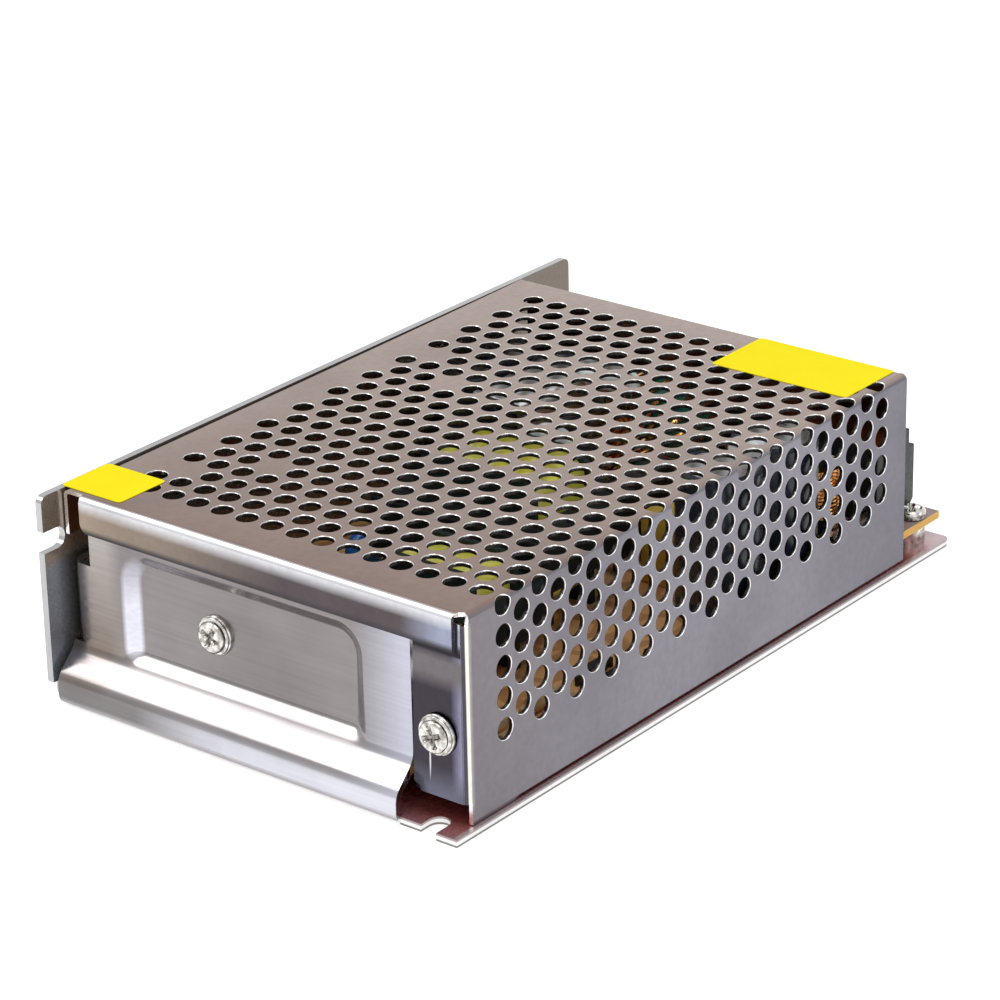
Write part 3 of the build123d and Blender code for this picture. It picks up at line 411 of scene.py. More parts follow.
def chassis_colours(tree):
    """Satin grey on the end plate, with painted reflections: lighter at its near edge, darker and browner
    low down at its far edge, and a painted highlight on the skirt and on the pressed flanks.
    """
    # Painted reflection: the plate's far edge darker and browner low down.
    far = layered(tree, (0.22, 0.18, 0.155), ("Z", 12, 36, (0.40, 0.375, 0.36)))
    # Painted highlight: the skirt lighter towards the near end.
    skirt = layered(tree, (0.20, 0.19, 0.19), ("Y", 76, 54, (0.60, 0.60, 0.66)))
    # Painted reflections: the plate bluish and lighter at its near edge, and paler at the bottom bend.
    plate = layered(
        tree, (0.25, 0.228, 0.228),
        ("Y", 27, 15, (0.46, 0.465, 0.545)),
        ("Y", 82, 86, far),
        ("Z", 6.4, 4.6, skirt),
        ("Z", 2.2, 1.2, (0.33, 0.31, 0.32)))
    colour = mixed(tree, facing_axis(tree, "X", -0.5, -0.9), (0.50, 0.48, 0.49), plate)
    # Painted highlight on the recess's flanks, brighter low down.
    pressed = layered(tree, (0.30, 0.29, 0.32), ("Z", 35, 22, (0.66, 0.66, 0.74)))
    return mixed(tree, turned(tree, ("Y", -0.12, -0.4), ("X", -0.3, -0.6)), colour, pressed)


def inner_colours(tree):
    """The inside of the folded sheet: a painted reflection of the board's red in the base, and painted
    shade, brown up the wall, with lighter painted reflections at the wall's end.
    """
    # Painted reflection of the board's red underside in the base, paler towards both ends and the near
    # edge.
    base = layered(
        tree, (0.42, 0.12, 0.11),
        ("X", 146, 157, (0.66, 0.52, 0.54)),
        ("X", 6, 0, (0.48, 0.22, 0.26)),
        ("Y", 1.1, 0.7, (0.60, 0.50, 0.52)))
    # Painted shade up the inside of the wall, with lighter painted reflections at its end: brown above,
    # bluish low down.
    wall, low_wall = [layered(tree, (0.20, 0.16, 0.13), ("X", 8, 3, end))
                      for end in ((0.44, 0.36, 0.29), (0.36, 0.40, 0.47))]
    wall = layered(tree, wall, ("Z", 29, 27, low_wall))
    return mixed(tree, facing_axis(tree, "Z", 0.3, 0.8), wall, base)


def edge_painted_bands(tree):
    """Cut edges of the folded base, banded by height: painted shade at the foot, a painted highlight above
    it, a dull pinkish painted reflection at the top, and plain grey higher up.
    """
    return layered(
        tree, (0.19, 0.18, 0.17),
        ("Z", 0.30, 0.50, (0.82, 0.82, 0.82)),
        ("Z", 0.95, 1.20, (0.34, 0.29, 0.29)),
        ("Z", 1.6, 2.0, (0.46, 0.46, 0.47)))


# The cover's colours are painted reflections and painted highlights; its stains, grain and scratches are
# its own.
cover_metal = sheet_finish("cover_sheet", cover_colours, (0.16, 0.26), 700, 0.05)
cut_edge = surface(
    "cut_edge", (0.78, 0.77, 0.76), (0.90, 0.90, 0.89), (0.18, 0.34), 1.0, scale=400, grain=2600,
    grain_stretch=(1, 1, 0.2))
# The chassis's colours are painted reflections and painted highlights.
chassis_metal = sheet_finish(
    "chassis_sheet", chassis_colours, (0.14, 0.26), 1500, 0.12, grain_stretch=BRUSHED_ALONG["Y"])
# Painted shade and reflections inside the chassis.
inner_metal = sheet_finish("inner_sheet", inner_colours, (0.20, 0.32), 900, 0.03, 0.6)
# Painted shade: the cover's inner face kept dark.
cover_inside = sheet_finish("cover_inside", (0.24, 0.115, 0.08), (0.25, 0.4), 900, 0.03)
# Painted shade, highlight and reflection in bands along the base's cut edges.
base_edge = sheet_finish("base_edge", edge_painted_bands, (0.12, 0.24), 2600, 0.1, grain_stretch=(1, 1, 0.2))
# Painted highlight and shade on the holes' rolled rims.
rolled_rim = sheet_finish("rolled_rim", rim_painted_highlight, (0.10, 0.2), 2600, 0.02)
# Painted shade: the torn lower part of each hole's wall is near black.
torn_edge = surface(
    "torn_edge", (0.03, 0.028, 0.026), (0.10, 0.09, 0.085), (0.3, 0.5), 1.0, scale=900, grain=2600)
# The screws' patches run from dark to bright as painted reflections.
nickel = surface(
    "nickel_screw", (0.24, 0.22, 0.19), (0.90, 0.89, 0.86), (0.10, 0.22), 1.0, scale=800, grain=2200,
    relief=0.1)
# Painted shade in the screwdriver cross and under the head's neck.
recess_shade = surface(
    "driver_recess_shade", (0.05, 0.045, 0.04), (0.42, 0.39, 0.36), (0.2, 0.35), 1.0, scale=1500, grain=2600,
    relief=0.1)
tinned = surface("tinned_wire", (0.70, 0.70, 0.70), (0.82, 0.82, 0.81), (0.2, 0.35), 1.0, scale=300)
sticker_film = surface(
    "sticker_film", (0.92, 0.76, 0.0), (0.96, 0.80, 0.002), (0.42, 0.52), scale=60, grain=900, relief=0.05,
    Specular_IOR_Level=0.05)
block_plastic = surface(
    "block_plastic", (0.012, 0.017, 0.013), (0.020, 0.026, 0.021), (0.45, 0.6), scale=90, grain=1600,
    relief=0.3)
sleeve = surface(
    "capacitor_sleeve", (0.02, 0.028, 0.045), (0.035, 0.045, 0.07), (0.22, 0.34), scale=80, grain=900,
    relief=0.05)
can_top = surface("can_top", (0.66, 0.66, 0.67), (0.78, 0.78, 0.79), (0.25, 0.4), 1.0, scale=300)
copper = surface(
    "copper_wire", (0.90, 0.38, 0.09), (0.98, 0.58, 0.20), (0.18, 0.3), 1.0, scale=260, grain=1600,
    Coat_Weight=0.6, Coat_Roughness=0.12)
ferrite = surface(
    "ferrite", (0.012, 0.014, 0.014), (0.020, 0.026, 0.025), (0.5, 0.7), scale=180, grain=2600, relief=0.5,
    Specular_IOR_Level=0.1)
tape = surface(
    "winding_tape", (0.97, 0.92, 0.06), (1.0, 0.96, 0.20), (0.16, 0.3), scale=70, stretch=(1, 1, 4),
    grain=700, grain_stretch=(0.2, 1, 1), relief=0.25, Coat_Weight=0.3)
bobbin_plastic = surface(
    "bobbin_plastic", (0.02, 0.035, 0.03), (0.03, 0.05, 0.045), (0.4, 0.55), scale=150,
    Specular_IOR_Level=0.15)
sink_metal = surface(
    "heatsink_sheet", (0.66, 0.67, 0.68), (0.78, 0.79, 0.80), (0.24, 0.38), 1.0, scale=50, grain=1400,
    grain_stretch=BRUSHED_ALONG["X"], relief=0.15)
epoxy = surface(
    "moulded_epoxy", (0.02, 0.02, 0.022), (0.035, 0.035, 0.036), (0.42, 0.58), grain=2600, relief=0.4,
    Specular_IOR_Level=0.2)
pad_rubber = surface("silicone_pad", (0.42, 0.45, 0.46), (0.5, 0.52, 0.53), (0.5, 0.65))
blue_dip = surface(
    "blue_dip", (0.01, 0.16, 0.62), (0.02, 0.22, 0.74), (0.2, 0.32), scale=220, grain=700, relief=0.3,
    Coat_Weight=0.4)
green_dip = surface("green_dip", (0.03, 0.12, 0.07), (0.05, 0.16, 0.10), (0.3, 0.45), scale=220)
core_paint = surface("core_paint", (0.02, 0.16, 0.13), (0.03, 0.22, 0.17), (0.3, 0.42), scale=160)
film_case = surface("film_case", (0.74, 0.50, 0.06), (0.82, 0.58, 0.10), (0.3, 0.42), scale=160)
lacquer = surface("resistor_lacquer", (0.55, 0.40, 0.22), (0.66, 0.50, 0.30), (0.35, 0.5), scale=500)
glue = surface(
    "silicone_glue", (0.97, 0.97, 0.95), (1.0, 1.0, 0.98), (0.35, 0.55), scale=160, grain=500, relief=0.5,
    Subsurface_Weight=0.2)
trimmer_plastic = surface("trimmer_plastic", (0.02, 0.08, 0.35), (0.03, 0.11, 0.42), (0.25, 0.38))
rotor_plastic = surface("rotor_plastic", (0.78, 0.78, 0.72), (0.86, 0.86, 0.80), (0.3, 0.45))
lamp_plastic = surface(
    "lamp_plastic", (0.10, 0.55, 0.18), (0.14, 0.65, 0.22), (0.1, 0.2), Transmission_Weight=0.5)
fuse_glass = surface(
    "fuse_glass", (0.9, 0.94, 0.93), (0.95, 0.97, 0.96), (0.02, 0.06), Transmission_Weight=0.9)


def board_material():
    """Laminate with pale traces under its lacquer, and amber cut edges."""
    material, tree, shader = new_material("board_laminate")
    streaks = noise_node(tree, 260, (1, 1, 6))
    edge = mixed(tree, spread(tree, streaks, *NOISE_SPAN), (0.80, 0.38, 0.04), (0.95, 0.58, 0.12))
    place = tree.nodes.new("ShaderNodeTexCoord")
    cells = tree.nodes.new("ShaderNodeTexVoronoi")
    cells.feature = "DISTANCE_TO_EDGE"
    cells.distance = "CHEBYCHEV"
    cells.inputs["Scale"].default_value = 130
    tree.links.new(place.outputs["Object"], cells.inputs["Vector"])
    traces = spread(tree, cells.outputs["Distance"], 0.10, 0.13)
    top = mixed(tree, traces, (0.72, 0.36, 0.15), (1.0, 0.56, 0.24))
    top = layered(tree, top, ("Y", 12, 8, (1.0, 0.62, 0.22)), ("X", 141, 144, (0.31, 0.23, 0.22)))
    beneath = mixed(tree, facing_axis(tree, "Z", -0.4, -0.6), edge, (0.72, 0.20, 0.07))
    colour = mixed(tree, facing_axis(tree, "Z", 0.4, 0.6), beneath, top)
    tree.links.new(colour, shader.inputs["Base Color"])
    grained(tree, shader, streaks, (0.35, 0.55), traces, 0.3, 0.05)
    return material


laminate = board_material()


# Mesh helpers

def new_object(name, data):
    """An object for some data, put in the scene."""
    item = bpy.data.objects.new(name, data)
    bpy.context.scene.collection.objects.link(item)
    return item


def mesh_object(name, shape, materials):
    """An object made from a bmesh, which is used up."""
    mesh = bpy.data.meshes.new(name)
    shape.to_mesh(mesh)
    shape.free()
    for material in materials:
        mesh.materials.append(material)
    return new_object(name, mesh)


def finish_mesh(name, shape, materials, nodes=(), body="root", sharp=35.0):
    """Turn a bmesh into a piece that rides on a body and may stand for CAD nodes."""
    bmesh.ops.recalc_face_normals(shape, faces=shape.faces)
    for face in shape.faces:
        face.smooth = True
    for edge in shape.edges:
        edge.smooth = edge.calc_face_angle(0) < math.radians(sharp)
    piece = mesh_object(name, shape, materials)
    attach(piece, body)
    if nodes:
        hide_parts(*nodes)


def stand_in(node, shape, materials, sharp=35.0):
    """Finish a piece that stands for one CAD node."""
    finish_mesh(node + "_look", shape, materials, [node], sharp=sharp)


def dress(material, *nodes):
    """Give CAD nodes a better material."""
    for node in nodes:
        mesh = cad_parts[node].data
        mesh.materials.clear()
        mesh.materials.append(material)


def cad_bmesh(node):
    """A welded copy of a CAD node's mesh."""
    shape = bmesh.new()
    shape.from_mesh(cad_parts[node].data)
    bmesh.ops.remove_doubles(shape, verts=shape.verts, dist=0.002 * MM)
    return shape


def solids(node):
    """The lowest and highest corner of each solid in a CAD node, in metres."""
    shape = cad_bmesh(node)
    boxes = []
    waiting = set(shape.verts)
    while waiting:
        island = [waiting.pop()]
        for vertex in island:
            for edge in vertex.link_edges:
                other = edge.other_vert(vertex)
                if other in waiting:
                    waiting.discard(other)
                    island.append(other)
        low = Vector([min(v.co[axis] for v in island) for axis in range(3)])
        high = Vector([max(v.co[axis] for v in island) for axis in range(3)])
        boxes.append((low, high))
    shape.free()
    return sorted(boxes, key=lambda b: tuple(b[0]))


def foot_of(low, high):
    """The middle of a box's underside."""
    return Vector(((low.x + high.x) / 2, (low.y + high.y) / 2, low.z))


def eased(node, material, width):
    """A CAD node redrawn with rounded edges."""
    shape = cad_bmesh(node)
    bmesh.ops.dissolve_limit(shape, angle_limit=0.02, verts=shape.verts, edges=shape.edges)
    sharp = [e for e in shape.edges if e.calc_face_angle(0) > math.radians(30)]
    bmesh.ops.bevel(shape, geom=sharp, offset=width * MM, segments=2, profile=0.5, affect="EDGES",
                    clamp_overlap=True)
    stand_in(node, shape, [material], 50)


def turns_of(count):
    """Equal turns round a circle."""
    return [2 * math.pi * step / count for step in range(count)]


def skin(shape, rings):
    """Faces between rings, each with the numbers of its ring and side. A single vertex is a tip."""
    made = []
    for number, (low, high) in enumerate(zip(rings, rings[1:])):
        sides = max(len(low), len(high))
        for step in range(sides):
            after = (step + 1) % sides
            ends = ((low, step), (low, after), (high, after), (high, step))
            distinct = list(dict.fromkeys(ring[place % len(ring)] for ring, place in ends))
            if len(distinct) > 2:
                made.append((number, step, shape.faces.new(distinct)))
    return made


def revolve(shape, centre, profile, segments=32, axis="Z", index=0):
    """Add a turned form: the profile's points are (radius, distance along the axis) in millimetres."""
    rings = []
    for radius, along in profile:
        ring = []
        for turn in turns_of(segments if radius > 0 else 1):
            a, b = radius * MM * math.cos(turn), radius * MM * math.sin(turn)
            offset = {"Z": (a, b, along * MM), "X": (along * MM, a, b), "Y": (a, along * MM, b)}[axis]
            ring.append(shape.verts.new(centre + Vector(offset)))
        rings.append(ring)
    for _, _, face in skin(shape, rings):
        face.material_index = index


def arc(centre, radius, start, end, steps=5):
    """Points of a profile's arc, with angles in degrees."""
    points = []
    for step in range(steps + 1):
        turn = math.radians(start + (end - start) * step / steps)
        points.append((centre[0] + radius * math.cos(turn), centre[1] + radius * math.sin(turn)))
    return points


def rounded(low, high, turn, steps):
    """The outline of a rectangle with round corners, anticlockwise."""
    points = []
    for x, y, start in ((high[0] - turn, high[1] - turn, 0), (low[0] + turn, high[1] - turn, 90),
                        (low[0] + turn, low[1] + turn, 180), (high[0] - turn, low[1] + turn, 270)):
        points += arc((x, y), turn, start, start + 90, steps)
    return points


# Sheet metal: a flat pattern with holes, folded by a place function

def inside(point, outline):
    """Whether a point lies inside a polygon."""
    x, y = point
    hit = False
    for (x0, y0), (x1, y1) in zip(outline, outline[1:] + outline[:1]):
        if (y0 > y) != (y1 > y) and x < (x1 - x0) * (y - y0) / (y1 - y0) + x0:
            hit = not hit
    return hit


def folded_pattern(shape, outline, holes, steps, lines, place, sheet):
    """Fold a flat pattern whose holes are (x, y, radius).

    place() gives a point for the two flat measures and a depth in the sheet.
    """
    points = [Vector(p) for p in outline]
    edges = [(i, (i + 1) % len(outline)) for i in range(len(outline))]
    wides = [radius + steps[0][0] for _, _, radius in holes]
    centres = kdtree.KDTree(len(holes))
    for number, (x, y, _) in enumerate(holes):
        centres.insert((x, y, 0), number)
        start = len(points)
        for step, turn in enumerate(turns_of(HOLE_SEGMENTS)):
            rim = (x + wides[number] * math.cos(turn), y + wides[number] * math.sin(turn))
            points.append(Vector(rim))
            edges.append((start + step, start + (step + 1) % HOLE_SEGMENTS))
    centres.balance()
    for first, last in lines:
        edges.append((len(points), len(points) + 1))
        points += [Vector(first), Vector(last)]
    flat, _, faces, *_ = geometry.delaunay_2d_cdt(points, edges, [], 0, FLAT_WELD)
    kept = []
    for face in faces:
        middle = sum((flat[i] for i in face), Vector((0, 0))) / len(face)
        _, number, distance = centres.find((*middle, 0))
        if distance > wides[number] - RIM_MARGIN and inside(middle, outline):
            kept.append(face)
    fold_faces(shape, flat, kept, centres, wides, steps, place, sheet)


def fold_faces(shape, flat, faces, centres, wides, steps, place, sheet):
    """Both skins of a folded pattern, and the walls along its edges and holes."""
    count = {}
    for face in faces:
        for pair in zip(face, face[1:] + face[:1]):
            key = tuple(sorted(pair))
            count[key] = count.get(key, 0) + 1
    rims = {}
    for index in {i for face in faces for i in face}:
        centre, number, distance = centres.find((*flat[index], 0))
        if distance < wides[number] + RIM_TOUCH:
            rims[index] = centre.xy, wides[number]
    last = len(steps)
    levels = [{} for _ in range(last + 1)]

    def vertex(level, index):
        if index not in levels[level]:
            spot = flat[index]
            extra, depth, _ = steps[level] if level < last else (steps[-1][0], sheet, CUT)
            if index in rims:
                centre, wide = rims[index]
                spot = centre + (spot - centre).normalized() * (wide - steps[0][0] + extra)
            elif 0 < level < last:
                depth = sheet * level / last
            levels[level][index] = shape.verts.new(place(spot.x, spot.y, depth))
        return levels[level][index]

    for face in faces:
        shape.faces.new([vertex(0, i) for i in face])
        shape.faces.new([vertex(last, i) for i in reversed(face)]).material_index = INNER
    for (a, b), uses in count.items():
        if uses > 1:
            continue
        for level in range(last):
            below = level + 1
            wall = shape.faces.new([vertex(level, a), vertex(level, b), vertex(below, b), vertex(below, a)])
            wall.material_index = steps[level][2] if a in rims else CUT


def corner_fold(distance, bend, depth):
    """A right-angle fold: a flat measure past the corner gives the way along and the way down."""
    if distance <= -bend:
        return distance, depth
    if distance >= bend:
        return -depth, distance
    turn = (distance + bend) / (2 * bend) * math.pi / 2
    reach = bend - depth
    return -bend + reach * math.sin(turn), bend - reach * math.cos(turn)


def bend_lines(start, end, bend, at_value, along, steps=6):
    """Lines across a bend so that it folds smoothly."""
    lines = []
    for step in range(steps + 1):
        value = at_value - bend + 2 * bend * step / steps
        ends = ((start, value), (end, value)) if along == "x" else ((value, start), (value, end))
        lines.append(ends)
    return lines


# Cover: flat measures are X, and the way up the side and over the top counted from the near corner

def cover_place(x, across, depth):
    """Fold the cover's pattern along its near, far, front and rear bends."""
    if across < COVER_TOP_RUN / 2:
        along, down = corner_fold(-across, COVER_BEND, depth)
        y, z = COVER_SIDE - along, HEIGHT - down
        inward = Vector((0, 0, -1)) if across > COVER_BEND else Vector((0, 1, 0))
    else:
        along, down = corner_fold(across - COVER_TOP_RUN, COVER_BEND, depth)
        y, z = COVER_FAR + along, HEIGHT - down
        inward = Vector((0, 0, -1))
    if across >= APRON_MARGIN and x > COVER_FRONT - APRON_BEND:
        along, down = corner_fold(x - COVER_FRONT, APRON_BEND, depth)
        return at(COVER_FRONT + along, y, HEIGHT - down)
    if x >= COVER_START:
        return at(x, y, z)
    back, down = corner_fold(COVER_REAR - x, COVER_BEND, depth)
    spot = at(COVER_REAR - back, y, z) - inward * depth * MM
    if across < 0:
        behind_lip = ease((HEIGHT + across - LIP_FOOT + TUCK_BELOW) / TUCK_RUN)
        behind_lip *= ease((COVER_REAR - x - LIP_NEAR + TUCK_BESIDE) / TUCK_RUN)
        spot += Vector((TUCK_SHIFT * behind_lip * MM, 0, 0))
    return spot + inward * down * MM


def cover_outline():
    """The cover's flat pattern, anticlockwise from the foot of its rear ear."""
    rear = COVER_START
    side_foot = COVER_FLOOR - HEIGHT
    ear_foot = EAR_FOOT_Z - HEIGHT
    flange_end = COVER_REAR - FLANGE_REACH
    low, high = FLANGE_Z[0] - HEIGHT, FLANGE_Z[1] - HEIGHT
    lip_end = COVER_REAR - LIP_DEPTH
    lip_far = COVER_TOP_RUN - LIP_FAR
    turn = FLANGE_CORNER
    fold = COVER_FRONT - APRON_BEND
    apron = COVER_FRONT + APRON_DEPTH
    apron_far = COVER_TOP_RUN - APRON_MARGIN
    wall = COVER_TOP_RUN + WALL_FLANGE
    points = [(rear, ear_foot), (EAR_FOOT_X, ear_foot), (EAR_FOOT_X + EAR_FOOT_SLANT, side_foot)]
    points += [(COVER_FRONT, side_foot), (COVER_FRONT, APRON_MARGIN - APRON_RELIEF), (fold, APRON_MARGIN)]
    points += [(apron, APRON_MARGIN), (apron, apron_far), (fold, apron_far), (fold, wall), (rear, wall)]
    points += [(rear, lip_far), (COVER_REAR, lip_far)]
    points += arc((lip_end + turn, lip_far - turn), turn, 90, 180)
    points += [(lip_end, LIP_NEAR), (COVER_REAR, LIP_NEAR), (rear, LIP_NEAR - LIP_RELIEF)]
    points += [(rear + CORNER_RELIEF[0], CORNER_RELIEF[1]), (rear, high), (flange_end, high)]
    return points + arc((flange_end + turn, low + turn), turn, 180, 270) + [(rear, low)]


def lattice():
    """The holes of the top and of the side, in the flat pattern."""
    places = []
    for column in range(HOLE_COLUMNS):
        x = FIRST_COLUMN + column * COLUMN_STEP
        odd = column % 2
        start = FIRST_TOP_HOLE if odd else FIRST_TOP_HOLE + HOLE_PITCH / 2
        for row in range(TOP_ROWS[odd]):
            if (column, row) not in UNPUNCHED:
                places.append((x, start + row * HOLE_PITCH, HOLE_RADIUS))
        start = FIRST_SIDE_HOLE + HOLE_PITCH / 2 if odd else FIRST_SIDE_HOLE
        for row in range(SIDE_ROWS[odd]):
            places.append((x, -start - row * HOLE_PITCH, HOLE_RADIUS))
    return places


def make_cover():
    """The perforated sheet, with its bends along the sides, at the rear and above the terminals."""
    shape = bmesh.new()
    lines = []
    for bend in ((COVER_START, COVER_FRONT, COVER_BEND, 0, "x"),
                 (COVER_START, COVER_FRONT, COVER_BEND, COVER_TOP_RUN, "x"),
                 (LIP_NEAR, COVER_TOP_RUN - LIP_FAR, COVER_BEND, COVER_REAR, "y"),
                 (FLANGE_Z[0] - HEIGHT, FLANGE_Z[1] - HEIGHT, COVER_BEND, COVER_REAR, "y"),
                 (APRON_MARGIN, COVER_TOP_RUN - APRON_MARGIN, APRON_BEND, COVER_FRONT, "y")):
        lines += bend_lines(*bend)
    folded_pattern(shape, cover_outline(), lattice(), PUNCH_STEPS, lines, cover_place, COVER_SHEET)
    metals = [cover_metal, cut_edge, cover_inside, torn_edge, rolled_rim]
    finish_mesh("perforated_cover", shape, metals, ["cover"], sharp=20.0)


# Chassis: base and wall from one pattern, end plate from a pressed grid

def wall_place(x, across, depth):
    """Fold the wall up from the base."""
    along, up = corner_fold(across - WIDTH, CHASSIS_BEND, depth)
    return at(x, WIDTH + along, up)


def slot_outline(end, middle):
    """A round-ended slot open at X = end, from its high side to its low side."""
    radius = SLOT_WIDTH / 2
    centre = (end + SLOT_DEPTH - radius, middle)
    round_end = arc(centre, radius, -90, 90, 8)
    return [(end, middle + radius)] + round_end[::-1] + [(end, middle - radius)]


def wall_outline():
    """The pattern of the base and wall, anticlockwise from the base's rear corner."""
    top = WIDTH + HEIGHT
    turn = CORNER_ROUNDING
    points = [(0, 0)] + arc((LENGTH - turn, turn), turn, -90, 0)
    points += arc((LENGTH - turn, top - turn), turn, 0, 90) + arc((turn, top - turn), turn, 90, 180)
    points += slot_outline(0, WIDTH + WALL_SLOT_Z)
    wall_foot = WIDTH + 2 * CHASSIS_BEND
    points += [(0, wall_foot), (CHASSIS_BEND, wall_foot), (CHASSIS_BEND, PLATE_NEAR)]
    slot = slot_outline(0, BASE_SLOT_Y)
    return points + [(TAB_SETBACK, PLATE_NEAR), (TAB_SETBACK, slot[0][1])] + slot[1:]


def plate_line(way):
    """The end plate's section: a way along its outer face gives X, Z and the inward direction."""
    slant = COVE_TOP - SKIRT_HEIGHT
    angle = math.atan2(slant, PLATE_X)
    cut = COVE_BEND * math.tan((math.pi / 2 - angle) / 2)
    turn = math.pi / 2 - angle
    straight = math.hypot(slant, PLATE_X) - 2 * cut
    parts = (
        ("foot", CHASSIS_BEND * math.pi / 2),
        ("skirt", SKIRT_HEIGHT - CHASSIS_BEND - cut),
        ("lower", COVE_BEND * turn),
        ("slant", straight),
        ("upper", COVE_BEND * turn),
        ("plate", PLATE_TOP - COVE_TOP - cut),
    )
    for name, run in parts:
        if way <= run or name == "plate":
            break
        way -= run
    if name == "foot":
        a = math.pi / 2 * way / run
        inward = Vector((math.sin(a), math.cos(a)))
        return Vector((CHASSIS_BEND, CHASSIS_BEND)) - inward * CHASSIS_BEND, inward
    if name == "skirt":
        return Vector((0, CHASSIS_BEND + way)), Vector((1, 0))
    low = SKIRT_HEIGHT - cut
    if name == "lower":
        a = turn * way / run
        centre = Vector((COVE_BEND, low))
        inward = Vector((math.cos(a), -math.sin(a)))
        return centre - inward * COVE_BEND, inward
    slope = Vector((math.cos(angle), math.sin(angle)))
    bend_end = Vector((0, SKIRT_HEIGHT)) + slope * cut
    if name == "slant":
        return bend_end + slope * way, Vector((math.sin(angle), -math.cos(angle)))
    if name == "upper":
        a = turn * (1 - way / run)
        centre = Vector((PLATE_X - COVE_BEND, COVE_TOP + cut))
        inward = Vector((math.cos(a), -math.sin(a)))
        return centre + inward * COVE_BEND, inward
    return Vector((PLATE_X, COVE_TOP + cut + way)), Vector((1, 0))


def recess_share(y, z):
    """How deep the pressed recess is at a place, from 0 to 1."""
    middle = sum(RECESS_Y) / 2
    half = (RECESS_Y[1] - RECESS_Y[0]) / 2
    dy = abs(y - middle) - half + RECESS_CORNER
    dz = z - RECESS_TOP + RECESS_CORNER
    outside = math.hypot(max(dy, 0), max(dz, 0)) + min(max(dy, dz), 0) - RECESS_CORNER
    return ease(-outside / RECESS_SLOPE) * ease((z - RECESS_FOOT) / RECESS_FOOT_SLOPE)


def plate_place(way, y, depth):
    """A point of the end plate, pushed in where the recess is pressed."""
    spot, inward = plate_line(way)
    z = spot.y
    spot = spot + inward * depth
    return at(spot.x + RECESS_DEPTH * recess_share(y, z), y, spot.y)


def ear_place(way, across, depth):
    """The far edge folded back along the wall, from the plate's face."""
    spot, _ = plate_line(way)
    along, back = corner_fold(across - PLATE_FAR, EAR_BEND, depth)
    return at(PLATE_X + back, PLATE_FAR + along, spot.y)


def add_grid(shape, ways, crossings, place, present):
    """Both skins of the chassis sheet on a grid, with walls where it ends."""
    vertices = {}

    def vertex(i, j, side):
        if (i, j, side) not in vertices:
            vertices[i, j, side] = shape.verts.new(place(ways[i], crossings[j], CHASSIS_SHEET * side))
        return vertices[i, j, side]

    def there(i, j):
        if not (0 <= i < len(ways) - 1 and 0 <= j < len(crossings) - 1):
            return False
        return present((ways[i] + ways[i + 1]) / 2, (crossings[j] + crossings[j + 1]) / 2)

    for i in range(len(ways) - 1):
        for j in range(len(crossings) - 1):
            if not there(i, j):
                continue
            ring = [(i, j), (i + 1, j), (i + 1, j + 1), (i, j + 1)]
            shape.faces.new([vertex(*p, 0) for p in ring])
            shape.faces.new([vertex(*p, 1) for p in reversed(ring)]).material_index = INNER
            neighbours = ((i, j - 1), (i + 1, j), (i, j + 1), (i - 1, j))
            for neighbour, a, b in zip(neighbours, ring, ring[1:] + ring[:1]):
                if not there(*neighbour):
                    wall = shape.faces.new([vertex(*a, 0), vertex(*b, 0), vertex(*b, 1), vertex(*a, 1)])
                    wall.material_index = CUT


def spaced(*stops):
    """Values through the stops, no further apart than the grid's step."""
    values = [stops[0]]
    for low, high in zip(stops, stops[1:]):
        count = max(1, math.ceil((high - low) / GRID_STEP))
        values += [low + (high - low) * n / count for n in range(1, count + 1)]
    return values


def way_at(z):
    """The way along the plate's section at a height on its upright stretch, by halving."""
    low, high = 0.0, 60.0
    for _ in range(40):
        middle = (low + high) / 2
        low, high = (middle, high) if plate_line(middle)[0].y < z else (low, middle)
    return low


def make_chassis():
    """The folded sheet, its end plate, and the plate's ear along the wall."""
    shape = bmesh.new()
    lines = bend_lines(CHASSIS_BEND, LENGTH, CHASSIS_BEND, WIDTH, "x")
    holes = [(x, y, BASE_HOLE_RADIUS) for x, y in BASE_HOLES]
    holes += [(x, WIDTH + z, WALL_HOLE_RADIUS) for x, z in WALL_SCREWS]
    folded_pattern(shape, wall_outline(), holes, BORE_STEPS, lines, wall_place, CHASSIS_SHEET)
    ear_way, notch_way, top_way = way_at(EAR_Z), way_at(NOTCH_Z), way_at(PLATE_TOP)
    ear_start = PLATE_FAR - EAR_BEND

    def plate_present(way, y):
        if way > notch_way:
            return y < NOTCH_Y
        return y < ear_start or way < ear_way

    ways = spaced(0, ear_way, notch_way, top_way)
    crossings = spaced(PLATE_NEAR, NOTCH_Y, ear_start, PLATE_FAR)
    add_grid(shape, ways, crossings, plate_place, plate_present)
    ear_across = spaced(ear_start, PLATE_FAR + EAR_BEND, PLATE_FAR + EAR_REACH)
    add_grid(shape, spaced(ear_way, notch_way), ear_across, ear_place, lambda *_: True)
    metals = [chassis_metal, base_edge, inner_metal]
    finish_mesh("folded_chassis", shape, metals, ["chassis"])


# Screws

def cross_depth(x, y, radius):
    """How far inside a screwdriver cross a point of a head lies, from 0 to 1."""
    reach, width = radius * CROSS_REACH, radius * CROSS_WIDTH
    arm = max(min(reach - abs(x), width - abs(y)), min(reach - abs(y), width - abs(x)))
    return ease(arm / CROSS_FLANK)


